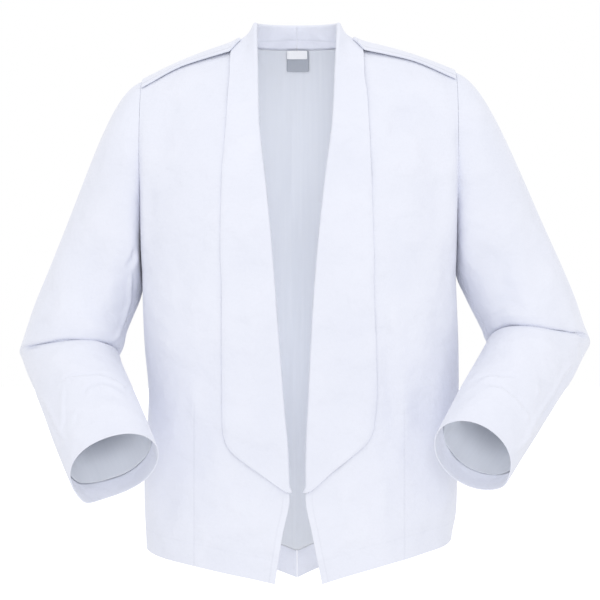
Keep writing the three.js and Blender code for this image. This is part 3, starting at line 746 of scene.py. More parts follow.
@dataclass(frozen=True)
class Gabardine:
    """White worsted gabardine: a fine steep twill, matt, with a faint bloom at grazing angles."""

    name: str = "white_worsted_gabardine"
    colour: str = "#E9EBF5"
    shade: str = "#DFE2EE"
    # The grey that the cloth darkens towards along its sewn lines: painted shade of their grooves
    groove_shade_colour: str = "#8F94A6"
    roughness: float = 0.82
    twill_angle: float = 27
    # Real ribs are about 0.45 mm apart; they are drawn at 0.9 mm so that a near view shows them
    rib_mm: float = 0.9
    groove_mm: float = 1.1
    stitch_mm: float = 3

    def make(self) -> Material:
        """Build the material: twill ribs, slubs, soft unevenness, and the sewn lines with painted shade
        along them.
        """
        material, tree, shader = new_material(self.name)
        cloth = add(tree, "UVMap", uv_map="Cloth")
        turn = (0, 0, np.radians(self.twill_angle))
        turned = add(tree, "Mapping", {"Vector": cloth, "Rotation": turn})
        uneven = {"Distortion": 0.6, "Detail": 1.0, "Detail Scale": 0.4}
        ribs = add(tree, "TexWave", {"Vector": turned, "Scale": wave_scale(self.rib_mm), **uneven}, "Fac")
        stretch = add(tree, "Mapping", {"Vector": cloth, "Scale": (900, 90, 1)})
        slubs = add(tree, "TexNoise", {"Vector": stretch, "Scale": 1.0, "Detail": 2.0}, "Fac")
        place = add(tree, "TexCoord", out="Object")
        broad = add(tree, "TexNoise", {"Vector": place, "Scale": 14.0, "Detail": 2.0}, "Fac")
        close = {"Vector": place, "Scale": 38.0, "Detail": 3.0, "Roughness": 0.45}
        soft = add(tree, "TexNoise", close, "Fac")
        lines, dents = self.sewn_lines(tree, cloth)
        tones = {"Factor": broad, 6: linear(self.shade), 7: linear(self.colour)}
        tint = add(tree, "Mix", tones, 2, data_type="RGBA")
        # Painted shade: the cloth darkens towards that grey along the sewn lines, as if shade fell in their
        # grooves
        painted_groove_shade = add(tree, "Math", {0: lines, 1: 0.2}, operation="MULTIPLY")
        dark = add(tree, "Mix", {"Factor": painted_groove_shade, 6: tint, 7: linear(self.groove_shade_colour)}, 2, data_type="RGBA")
        weave = add(tree, "Math", {0: ribs, 1: slubs}, operation="ADD")
        relief: dict = {}
        for height, strength, distance, inwards in (
            (weave, 0.5, 0.00006, False),
            (broad, 1.0, 0.009, False),
            (soft, 0.9, 0.0035, False),
            (dents, 1.0, 0.0006, True),
        ):
            layer = {"Height": height, "Strength": strength, "Distance": distance, **relief}
            relief = {"Normal": add(tree, "Bump", layer, invert=inwards)}
        feed(tree, shader, {"Base Color": dark, "Roughness": self.roughness, **relief})
        feed(tree, shader, {"Specular IOR Level": 0.3, "Sheen Weight": 0.3, "Sheen Roughness": 0.4})
        return material

    def sewn_lines(self, tree: Tree, cloth: Socket) -> tuple[Socket, Socket]:
        """Turn the piece's own distances from its dart, hem and edge lines into painted shade and depth.

        Args:
            tree: the material's node tree.
            cloth: the cloth's own UV, in metres.

        Returns:
            How strongly painted shade darkens the cloth along a line, and how deep it lies.
        """
        away = add(tree, "Attribute", out="Vector", attribute_name="line_away")
        shown = add(tree, "Attribute", out="Vector", attribute_name="line_shown")
        grooves = (1 / (self.groove_mm * MM),) * 3
        near = add(tree, "VectorMath", {0: away, 1: grooves}, operation="MULTIPLY")
        square = add(tree, "VectorMath", {0: near, 1: near}, operation="MULTIPLY")
        parts, strong = (add(tree, "SeparateXYZ", {0: vector}).node.outputs for vector in (square, shown))
        lines = []
        for part, strength in zip(parts, strong):
            fall = add(tree, "Math", {0: part, 1: -1.0}, operation="MULTIPLY")
            rise = add(tree, "Math", {0: fall}, operation="EXPONENT")
            lines.append(add(tree, "Math", {0: rise, 1: strength}, operation="MULTIPLY"))
        total = lines[0]
        for line in lines[1:]:
            total = add(tree, "Math", {0: total, 1: line}, operation="ADD")
        # The stitches show as beads along the lines
        rows = {"Vector": cloth, "Scale": wave_scale(self.stitch_mm)}
        beads = add(tree, "TexWave", rows, "Fac", bands_direction="Y")
        beaded = add(tree, "Math", {0: beads, 1: 0.4, 2: 0.6}, operation="MULTIPLY_ADD")
        return total, add(tree, "Math", {0: total, 1: beaded}, operation="MULTIPLY")


@dataclass(frozen=True)
class LiningTwill:
    """Pale grey rayon lining: a close, smooth weave with a soft gloss and faint warp streaks."""

    name: str = "grey_rayon_lining"
    colour: str = "#DADDE4"
    shade: str = "#D2D6DE"
    roughness: float = 0.5
    # Real threads are 0.12 mm apart; the ribs are drawn at 0.7 mm so that a near view shows them
    rib_mm: float = 0.7

    def make(self) -> Material:
        """Build the material: fine ribs, streaks and slack unevenness."""
        material, tree, shader = new_material(self.name)
        cloth = add(tree, "UVMap", uv_map="Cloth")
        turned = add(tree, "Mapping", {"Vector": cloth, "Rotation": (0, 0, np.radians(45))})
        ribs = add(tree, "TexWave", {"Vector": turned, "Scale": wave_scale(self.rib_mm)}, "Fac")
        long = add(tree, "Mapping", {"Vector": cloth, "Scale": (260, 5, 1)})
        streaks = add(tree, "TexNoise", {"Vector": long, "Scale": 1.0, "Detail": 3.0}, "Fac")
        tones = {"Factor": streaks, 6: linear(self.shade), 7: linear(self.colour)}
        tint = add(tree, "Mix", tones, 2, data_type="RGBA")
        slack = add(tree, "Mapping", {"Vector": cloth, "Scale": (38, 9, 1)})
        soft = add(tree, "TexNoise", {"Vector": slack, "Scale": 1.0, "Detail": 2.0}, "Fac")
        near = add(tree, "Bump", {"Height": ribs, "Strength": 0.4, "Distance": 0.00004})
        folds = add(tree, "Bump", {"Height": soft, "Strength": 0.6, "Distance": 0.0022, "Normal": near})
        feed(tree, shader, {"Base Color": tint, "Normal": folds, "Roughness": self.roughness})
        feed(tree, shader, {"Sheen Weight": 0.05})
        return material


@dataclass(frozen=True)
class WovenTape:
    """Woven polyester label tape: flat, with close ribs across it."""

    name: str
    colour: str
    # Real ribs are about 0.3 mm; they are drawn at 0.8 mm
    rib_mm: float = 0.8

    def make(self) -> Material:
        """Build the material: ribs across and a faint change of tone with them."""
        material, tree, shader = new_material(self.name)
        cloth = add(tree, "UVMap", uv_map="Cloth")
        rows = {"Vector": cloth, "Scale": wave_scale(self.rib_mm), "Distortion": 0.3}
        ribs = add(tree, "TexWave", rows, "Fac", bands_direction="Y")
        fleck = add(tree, "TexNoise", {"Vector": cloth, "Scale": 900.0, "Detail": 1.0}, "Fac")
        light = linear(self.colour)
        dark = tuple(0.86 * c for c in light[:3]) + (1.0,)
        tint = add(tree, "Mix", {"Factor": fleck, 6: dark, 7: light}, 2, data_type="RGBA")
        bump = add(tree, "Bump", {"Height": ribs, "Strength": 0.6, "Distance": 0.00008})
        feed(tree, shader, {"Base Color": tint, "Normal": bump, "Roughness": 0.6})
        return material


@dataclass
class Cloth:
    """A sheet of cloth from a grid of points, rows up it and columns across."""

    name: str
    node: str
    points: Array
    outward: Array
    thickness: float = CLOTH
    ring: bool = False
    lines: Array | None = None
    shown: Array | None = None

    def cut(self) -> tuple[float, float, float]:
        """The flat width, length and area of the sheet, in metres."""
        across, up = np.diff(self.points, axis=1), np.diff(self.points, axis=0)
        width = np.linalg.norm(across, axis=-1).sum(axis=1).max()
        length = np.linalg.norm(up, axis=-1).sum(axis=0).max()
        first = np.linalg.norm(np.cross(across[:-1], up[:, :-1]), axis=-1)
        second = np.linalg.norm(np.cross(across[1:], up[:, 1:]), axis=-1)
        return width * MM, length * MM, (first + second).sum() / 2 * MM * MM

    def laid_flat(self) -> Array:
        """Each point's place on the flat cloth, in metres, counted from the middle column."""
        across, up = travelled(self.points, 1), travelled(self.points, 0)
        middle = across.shape[1] // 2
        return np.stack([across - across[:, middle : middle + 1], up], axis=-1) * MM

    def shape(self) -> bpy.types.Mesh:
        """Build the sheet's mesh with its flat map, its sewn lines and its outer side outwards."""
        rows, columns = self.points.shape[:2]
        grid = bmesh.new()
        bmesh.ops.create_grid(grid, x_segments=columns - 1, y_segments=rows - 1, size=0.5)
        mesh = bpy.data.meshes.new(self.name)
        grid.to_mesh(mesh)
        flat = np.empty(len(mesh.vertices) * 3)
        mesh.vertices.foreach_get("co", flat)
        flat = flat.reshape(-1, 3)
        low, high = flat.min(axis=0), flat.max(axis=0)
        column = np.rint((flat[:, 0] - low[0]) / (high[0] - low[0]) * (columns - 1)).astype(int)
        row = np.rint((flat[:, 1] - low[1]) / (high[1] - low[1]) * (rows - 1)).astype(int)
        mesh.vertices.foreach_set("co", (self.points[row, column] * MM).ravel())
        loops = np.empty(len(mesh.loops), dtype=np.int32)
        mesh.loops.foreach_get("vertex_index", loops)
        layer = mesh.uv_layers.new(name="Cloth")
        layer.data.foreach_set("uv", self.laid_flat()[row, column][loops].ravel())
        for name, values in (("line_away", self.lines), ("line_shown", self.shown)):
            known = np.zeros((rows, columns, 3)) if values is None else values
            spread = mesh.attributes.new(name, "FLOAT_VECTOR", "POINT")
            spread.data.foreach_set("vector", known[row, column].ravel())
        mesh.update()
        normals = np.empty(len(mesh.vertices) * 3)
        mesh.vertex_normals.foreach_get("vector", normals)
        if (normals.reshape(-1, 3) * self.outward[row, column]).sum() < 0:
            mesh.flip_normals()
        if self.ring:
            grid.clear()
            grid.from_mesh(mesh)
            bmesh.ops.remove_doubles(grid, verts=grid.verts, dist=1e-6)
            grid.to_mesh(mesh)
        grid.free()
        mesh.polygons.foreach_set("use_smooth", np.ones(len(mesh.polygons), dtype=bool))
        return mesh

    def make(self, material: Material, slot: Slot, rests_on: Sequence[str]) -> Piece:
        """Args:
            material: its finish.
            slot: the record's slot for it; not used.
            rests_on: the pieces or nodes that carry it; not used.

        Returns:
            The finished object.
        """
        mesh = self.shape()
        mesh.materials.append(material)
        piece = bpy.data.objects.new(self.name, mesh)
        bpy.context.scene.collection.objects.link(piece)
        wall = piece.modifiers.new("wall", "SOLIDIFY")
        wall.thickness, wall.offset, wall.use_even_offset = self.thickness * MM, -1, False
        smooth = piece.modifiers.new("smooth", "SUBSURF")
        smooth.levels = smooth.render_levels = 1
        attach(piece, "root")
        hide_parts(self.node)
        width, length, area = self.cut()
        area = min(area, width * length)
        log.info("%s: %.0f by %.0f mm cut, %.4f square metres", self.name, width / MM, length / MM, area)
        return piece


def stepped(*stops: tuple[float, float]) -> Array:
    """Numbers from one stop to the next: each stop after the first gives where, and the step up to it."""
    parts = [np.array([stops[0][0]])]
    for (before, _), (to, step) in zip(stops, stops[1:]):
        count = max(1, round(abs(to - before) / step))
        parts.append(np.linspace(before, to, count + 1)[1:])
    return np.concatenate(parts)


# Creases of the body in front view, in millimetres
BODY_CREASES = (
    Crease(((104, -318), (112, -370), (124, -461), (126, -520)), -2.6, 10, 1.0, 45),
    Crease(((-194, -160), (-192, -230), (-186, -310)), -1.6, 10, 0.6, 40),
    Crease(((-154, -262), (-150, -330), (-150, -380)), -1.3, 12, 0.4, 40),
    Crease(((-176, -520), (-170, -580), (-172, -640)), -1.2, 13, 0.7, 40),
    Crease(((-96, -560), (-98, -620), (-100, -690)), 1.0, 15, 0, 40),
    Crease(((92, -560), (98, -600), (96, -680)), -1.0, 13, 0.6, 40),
    Crease(((176, -500), (184, -560), (182, -640)), 1.1, 14, 0, 40),
    Crease(((188, -120), (186, -190), (180, -270)), -1.2, 10, 0.6, 40),
    Crease(((-134, -420), (-134, -455), (-133, -500)), 1.0, 9, 0, 30),
    Crease(((140, -425), (140, -460), (139, -505)), 1.0, 9, 0, 30),
    Crease(((-150, -150), (-140, -260), (-132, -400)), -1.8, 16, 0.8, 50, Faces.BACK),
    Crease(((146, -170), (140, -280), (126, -430)), -1.6, 15, 0.8, 50, Faces.BACK),
    Crease(((-60, -420), (-70, -520), (-64, -660)), 1.2, 18, 0, 60, Faces.BACK),
    Crease(((66, -440), (60, -540), (70, -670)), 1.1, 17, 0, 60, Faces.BACK),
)

# Creases of the sleeves in front view, in millimetres
SLEEVE_CREASES = (
    Crease(
        ((-308, -439), (-295, -433), (-274, -431), (-256, -432), (-238, -438), (-219, -449)),
        1.7,
        2.6,
        -1.2,
        12,
    ),
    Crease(((-277, -458), (-269, -447), (-256, -443), (-233, -448)), 1.2, 2.6, -0.9, 12),
    Crease(((-304, -440), (-305, -461), (-305, -487), (-308, -503)), 1.0, 2.2, -0.5, 12),
    Crease(((-283, -466), (-290, -479), (-294, -495)), 0.7, 2.4, -0.4, 10),
    Crease(((-338, -453), (-322, -486), (-304, -521)), -1.6, 3, 1.2, 16),
    Crease(((-258, -452), (-240, -455), (-224, -462)), -0.8, 4, 0.5, 12),
    Crease(((-216, -292), (-217, -331), (-225, -357), (-233, -378), (-243, -389)), 2.0, 2.4, -1.2, 14),
    Crease(((-216, -292), (-209, -282), (-205, -266)), 1.6, 2.6, -1.2, 8),
    Crease(((-224, -290), (-214, -278), (-209, -262)), -1.5, 3, 0.8, 8),
    Crease(((-207, -320), (-201, -324)), -2.2, 3, 1.0, 3),
    Crease(((-344, -240), (-330, -300), (-318, -350)), -1.6, 14, 0.9, 40),
    Crease(((-268, -250), (-266, -310), (-262, -360)), -1.8, 16, 0.9, 40),
    Crease(((-300, -120), (-306, -190), (-322, -270)), 1.2, 16, 0, 50),
    Crease(((-356, -403), (-345, -397), (-334, -396)), 1.2, 2.4, -0.8, 5),
    Crease(((234, -438), (252, -432), (272, -433), (291, -435)), 1.4, 2.6, -1.0, 12),
    Crease(((242, -445), (265, -448), (284, -461), (299, -479), (302, -495)), 1.5, 2.6, -1.0, 14),
    Crease(((248, -457), (262, -459), (278, -468)), -0.9, 3.4, 0.4, 10),
    Crease(((312, -440), (313, -450), (313, -462)), 1.3, 2.4, -0.7, 8),
    Crease(((359, -409), (348, -425), (333, -451), (315, -479), (302, -503), (296, -516)), 2.0, 3, -1.6, 16),
    Crease(((374, -399), (361, -422), (343, -453), (322, -482), (307, -505), (278, -534)), 1.8, 3, -1.4, 16),
    Crease(((358, -373), (366, -380), (378, -384)), 1.5, 2.4, -1.2, 6),
    Crease(((360, -386), (370, -389), (379, -387)), 1.2, 2.2, -0.8, 6),
    Crease(((300, -200), (312, -280), (318, -340)), -1.6, 15, 0.9, 40),
    Crease(((262, -260), (270, -310), (272, -350)), -1.8, 14, 0.9, 40),
    Crease(((250, -110), (262, -180), (290, -250)), 1.1, 15, 0, 50),
    Crease(((-340, -300), (-330, -350), (-336, -400)), -1.8, 8, 1.0, 30, Faces.BACK),
    Crease(((-250, -180), (-272, -260), (-296, -350)), -1.6, 12, 0.8, 40, Faces.BACK),
    Crease(((-300, -430), (-280, -450), (-262, -480)), 1.3, 4, -0.8, 16, Faces.BACK),
    Crease(((342, -300), (338, -350), (346, -400)), -1.8, 8, 1.0, 30, Faces.BACK),
    Crease(((250, -170), (280, -260), (306, -340)), -1.6, 12, 0.8, 40, Faces.BACK),
    Crease(((300, -420), (282, -444), (266, -476)), 1.3, 4, -0.8, 16, Faces.BACK),
)

# The closer columns of a body panel by its side seam: a share across, and the step up to it
BY_SIDE_SEAM = ((0.0002, 0), (0.0016, 0.002), (0.005, 0.004), (0.02, 0.008))


@dataclass
class BodyPanels:
    """The front and back panels of one half, with their hem, dart and edge stitching."""

    form: BodyForm
    hem_turn: float = 28
    hem_band: float = 0.3
    edge_stitch: float = 8
    dart_top: float = -461
    seam_gap: float = 0.3
    shoulder_gap: float = 0.0005
    seam_dip: float = 0.7
    dip_width: float = 3
    under_lapel: float = 1.1
    relief: float = 1.5
    below_chest: float = 378
    above_chest: float = 680
    back_width: float = 560

    def rows(self, step: float) -> Array:
        """Shares up a panel, closer at the hem and its turned-up line."""
        hem, lower = self.hem_turn, self.below_chest
        low = stepped((0, 0), (1, 1), (3, 2), (hem - 1.5, 5), (hem + 1.5, 1.5), (lower, step))
        last = 1 - self.shoulder_gap
        high = stepped((0.5, 0), (0.99, step / self.above_chest), (0.998, 0.002), (last, 0.002))
        return np.concatenate([low / lower * 0.5, high[1:]])

    def at_side(self, u: Array, v: Array, length: Array) -> Array:
        """How far a point takes part in the dip along the side seam, which ends at the armhole."""
        return np.exp(-((u * length / self.dip_width) ** 2)) * (1 - ease(0.48, 0.54, v))

    def band(self, up: Array) -> Array:
        """How far the turned-up hem stands out."""
        return self.hem_band * (1 - ease(self.hem_turn - 1.5, self.hem_turn + 1.5, up))

    def front(self, white: Material) -> Piece:
        """Build the front panel, from the side seam to the front edge."""
        half = self.form.half
        vs = self.rows(6)
        u, v = np.meshgrid(stepped(*BY_SIDE_SEAM, (0.98, 0.024), (0.995, 0.008), (1, 0.005)), vs)
        points, normals = (part * half.mirror for part in self.form.front.at(u, v))
        z = points[..., 2]
        length = row_lengths(points)
        from_edge = (1 - u) * length
        edge_z = self.form.front.at(1.0, vs)[0][:, None, 2]
        lapel = np.where(z > -573, curve(LAPEL, half.column, edge_z), 0)
        points = creased(points, normals, BODY_CREASES, ease(2, 16, from_edge - lapel) * self.relief)
        sunk = -self.under_lapel * (1 - ease(-9, 1, from_edge - lapel)) * ease(26, 34, from_edge)
        up = travelled(points, 0)
        seam = -self.seam_dip * self.at_side(u, v, length)
        points = points + normals * (sunk + self.band(up) + seam)[..., None]
        x = seen(points)[..., 0] * half.sign
        lines = xyz(x - half.dart, up - self.hem_turn, from_edge - self.edge_stitch) * MM
        dart = (1 - ease(self.dart_top - 14, self.dart_top + 8, z)) * ease(0.25, 0.4, u)
        edge = (1 - ease(-579, -573, z)) * ease(0.5, 0.7, u)
        shown = xyz(0.35 * dart, 0.12, 0.3 * edge)
        name = f"front_{half.name}"
        sheet = Cloth(f"cloth_{name}", name, points, normals, lines=lines, shown=shown)
        return sheet.make(white, Slot.WHITE_CLOTH, [f"cloth_back_{half.name}"])

    def back(self, white: Material) -> Piece:
        """Build the back panel, from the side seam to the centre back seam."""
        half = self.form.half
        last = 1 - self.seam_gap / self.back_width
        us = stepped(*BY_SIDE_SEAM, (0.98, 0.034), (0.995, 0.008), (last, 0.005))
        u, v = np.meshgrid(us, self.rows(9))
        points, normals = (part * half.mirror for part in self.form.back.at(u, v))
        length = row_lengths(points)
        from_middle = (1 - u) * length
        up = travelled(points, 0)
        middle = np.exp(-((from_middle / self.dip_width) ** 2))
        seam = -self.seam_dip * (self.at_side(u, v, length) + middle)
        calm = ease(20, 60, from_middle) * (1 - ease(0.8, 0.92, v))
        outward = creased(points, normals, BODY_CREASES, calm)
        # The lining lies close behind the panel, so its folds stand outwards from it
        inner = np.minimum(0, ((outward - points) * normals).sum(-1, keepdims=True))
        points = outward - normals * inner + normals * (self.band(up) + seam * 0.6)[..., None]
        lines = xyz(1, up - self.hem_turn, 1) * MM
        shown = xyz(0, 0.12 + 0 * u, 0)
        name = f"back_{half.name}"
        sheet = Cloth(f"cloth_{name}", name, points, normals, lines=lines, shown=shown)
        return sheet.make(white, Slot.WHITE_CLOTH, ["lining_of_back"])


@dataclass
class CollarPath:
    """Stations along the edge that the collar folds over, from the centre back to the lapel's tip."""

    form: BodyForm
    tip_z: float = -571
    neck_stations: int = 27
    back_across: float = 250
    back_up: float = 670

    def __post_init__(self) -> None:
        """Lay the stations out: the turn round the neck, and the shares across and up the panels."""
        around = np.concatenate([[0, 0.005], np.linspace(0, 1, self.neck_stations)[1:-1]])
        shares = np.linspace(0, 1, 2001)
        heights = self.form.front.at(1.0, shares)[0][..., 2]
        lowest = float(np.interp(self.tip_z, heights[:1001], shares[:1001]))
        down = stepped((1, 0), (0.9, 0.006), (lowest + 0.08, 0.0075), (lowest, 0.004))
        self.angle = np.concatenate([(1 - around) * np.pi / 2, np.zeros(len(down))])
        self.is_neck = np.arange(len(self.angle)) < len(around)
        self.share = np.concatenate([mix(NECK_SHARE, 1, 1 - around), np.ones(len(down))])
        self.v = np.concatenate([np.ones(len(around)), down])
        rows = self.form.front.at(np.linspace(0, 1, 25)[None], self.v[:, None])[0]
        self.front_width = row_lengths(rows)[:, 0]

    def skin(self, distance: Array | float) -> tuple[Array, Array]:
        """The panel's points and normals at a distance from its edge, for every station."""
        across = self.share - np.cos(self.angle) * distance / self.back_across
        behind = self.form.back.at(across, 1 - np.sin(self.angle) * distance / self.back_up)
        ahead = self.form.front.at(1 - distance / self.front_width, self.v)
        return tuple(np.where(self.is_neck[:, None], b, a) for b, a in zip(behind, ahead))


# Shares across the fall at which the collar has a column, closer at the roll and the outer edge
FALL_SHARES = (0.03, 0.08, 0.14, 0.21, 0.29, 0.38, 0.47, 0.56, 0.65, 0.74, 0.82, 0.89, 0.95, 0.985, 1)


@dataclass
class ShawlCollar:
    """One half of the shawl collar: an inner strip, the roll, and the fall or lapel outside."""

    form: BodyForm
    clear: float = 0.8
    facing_clear: float = 0.6
    cloth: float = 1.5
    facing: float = 22
    stand_turn: float = 6
    stand_forward: float = 9
    stand_up: float = 24
    fall_width: float = 25
    lapel_lift: float = 1.8
    edge_drop: float = 2.1
    neck_lift: float = 1.3
    fall_drop: float = 0.42
    stitch_up: float = 12
    seam_gap: float = 0.03

    def __post_init__(self) -> None:
        """Work out where the two faces of the fold lie, and its stations."""
        self.outside = self.clear + self.cloth
        self.inside = -(CLOTH + self.facing_clear + self.cloth)
        self.path = CollarPath(self.form)
        self.edge, self.edge_n = self.path.skin(0.0)
        self.z = np.where(self.path.is_neck, 5.0, self.edge[:, 2])

    def stand(self) -> Array:
        """How the roll stands off the panel's edge at every station."""
        turn, z = self.path.angle, self.z
        forward = mix(curve(STAND, 2, z), self.stand_forward, np.sin(turn))
        up = mix(curve(STAND, 3, z), self.stand_up, np.sin(turn))
        return xyz(-curve(STAND, 1, z) * np.cos(turn), -forward, up)

    def directions(self, stand: Array) -> tuple[Array, Array]:
        """Directions of the roll at every station: away from the edge, and outwards."""
        rolls = self.edge + stand
        run = travelled(rolls, 0)
        ends = [[np.interp(run + step, run, rolls[:, k]) for k in range(3)] for step in (16, -16)]
        along = unit(np.transpose(np.subtract(*ends)))
        off = unit(stand - along * (stand * along).sum(-1, keepdims=True))
        out = unit(np.cross(along, off))
        return off, np.where((out * self.edge_n).sum(-1, keepdims=True) < 0, -out, out)

    def under(self, stand: Array, start: Array) -> list[Array]:
        """Columns of the strip inside the panel, and up to where the roll starts."""
        near_neck = ease(-90, -10, self.edge[:, 2])
        strip = np.where(self.path.is_neck, self.stand_turn, mix(self.facing, self.stand_turn, near_neck))
        beyond = unit(self.edge - self.path.skin(3.0)[0]) * np.minimum(1, length_of(stand) / 10)
        root = self.edge + self.edge_n * self.inside + beyond * (self.facing_clear + self.cloth)
        columns = []
        for part in (1, 0.75, 0.5, 0.25):
            p, n = self.path.skin(strip * part)
            columns.append(p + n * self.inside)
        return columns + [mix(root, start, t) for t in (0, 0.33, 0.66)]

    def fall(self, off: Array, end: Array) -> list[Array]:
        """Columns from the roll to the outer edge: a free fall behind, and a lapel that lies in front."""
        z = self.z
        width = mix(curve(LAPEL, self.form.half.column, z), self.fall_width, np.sin(self.path.angle))
        neck, lowering = ease(-130, -50, z), 1 - ease(-200, -60, z)
        tip, tip_n = self.path.skin(width)
        last = tip + tip_n * (self.outside + self.neck_lift * neck)[:, None]
        bend = end - off * self.fall_drop * length_of(end - last)
        columns = []
        for part in FALL_SHARES:
            # The lapel lifts towards its edge, which turns down to the panel again
            lapel = self.lapel_lift * part**3 - self.edge_drop * ease(0.92, 1, part)
            lift = self.neck_lift * neck * ease(0, 0.3, part) + lapel * lowering
            p, n = self.path.skin(width * part)
            step = (end - self.edge - self.edge_n * self.outside) * (1 - part) ** 3
            lying = p + n * (self.outside + lift)[:, None] + step
            free = bezier(end, bend, bend, last, np.full((len(z), 1), part))
            columns.append(mix(lying, free, ease(-55, -10, z)[:, None]))
        return columns

    def make(self, white: Material) -> Piece:
        """Build the collar from its columns: the strip inside, the roll and the fall."""
        half = self.form.half
        radius, middle = (self.outside - self.inside) / 2, (self.outside + self.inside) / 2
        stand = self.stand()
        off, out = self.directions(stand)
        centre = self.edge + stand + out * middle
        columns = self.under(stand, centre - out * radius)
        for turn in np.radians(np.linspace(-90, 90, 9)):
            columns.append(centre + out * radius * np.sin(turn) + off * radius * np.cos(turn))
        inner = len(columns) + 1
        columns += self.fall(off, centre + out * radius)
        points = np.stack(columns, axis=1)
        points[0, :, 0] = self.seam_gap
        outward = np.zeros_like(points)
        outward[:, inner:] = self.edge_n[:, None]
        points, outward = points * half.mirror, outward * half.mirror
        across = travelled(points, 1)
        lines = xyz(1, 1, across - self.stitch_up) * MM
        shown = xyz(0, 0, 0.5 * ease(-60, -20, self.z)[:, None] + 0 * across)
        name = f"shawl_{half.name}"
        sheet = Cloth(f"cloth_{name}", name, points, outward, self.cloth, lines=lines, shown=shown)
        return sheet.make(white, Slot.WHITE_CLOTH, [f"cloth_front_{half.name}", f"cloth_back_{half.name}"])


@dataclass
class ShoulderStrap:
    """A doubled strap along the shoulder seam, caught at the armhole, its point over the collar."""

    form: BodyForm
    half_width: float = 22
    tip_length: float = 15
    tip_half: float = 2.5
    length: float = 133
    forward: float = 5
    edge_lift: float = 0.5
    stitch: float = 5
    neck_gap: float = 7.5
    armhole_gap: float = 1.5
    front_up: float = 186
    back_up: float = 165

    def make(self, white: Material) -> Piece:
        """Build the strap over the front and back skins."""
        form, half = self.form, self.form.half
        seam = form.shoulder_seam(np.array([0.0, 1.0]))
        reach = float(np.linalg.norm(seam[1] - seam[0]))
        tip, last = self.tip_length, self.length
        runs = stepped((0, 0), (1, 1), (4, 1.5), (tip - 1, 3), (tip + 1, 1), (last - 1, 4), (last, 1))
        width = mix(self.tip_half, self.half_width, np.minimum(1, runs / tip))
        # The strap stops just short of both ends of the shoulder seam
        room = reach - (self.neck_gap + self.armhole_gap)
        share = 1 - (runs * room / last + self.neck_gap) / reach
        across = np.concatenate([[-1, -0.96], np.linspace(-0.86, 0.86, 11), [0.96, 1]])
        ahead = self.forward + width[:, None] * across
        fore_v = 1 - 0.5 * np.maximum(ahead, 0) / self.front_up
        rear_v = 1 + 0.5 * np.minimum(ahead, 0) / self.back_up
        front, front_n = form.front.at(share[:, None], fore_v)
        back, back_n = form.back.at(share[:, None] * NECK_SHARE, rear_v)
        fore = (ahead >= 0)[..., None]
        normals = np.where(fore, front_n, back_n)
        lift = curve(STRAP_LIFT, 1, runs)[:, None] + self.edge_lift * across**2 + STRAP_CLOTH
        points = (np.where(fore, front, back) + normals * lift[..., None]) * half.mirror
        from_side = width[:, None] * (1 - np.abs(across))
        lines = xyz(1, from_side - self.stitch, runs[:, None] - self.stitch) * MM
        shown = xyz(0, 0.7 * ease(9, 14, runs)[:, None] + 0 * across, 0.4)
        name = f"strap_{half.name}"
        normals = normals * half.mirror
        sheet = Cloth(f"cloth_{name}", name, points, normals, STRAP_CLOTH, lines=lines, shown=shown)
        return sheet.make(white, Slot.WHITE_CLOTH, [f"cloth_front_{half.name}", f"cloth_shawl_{half.name}"])


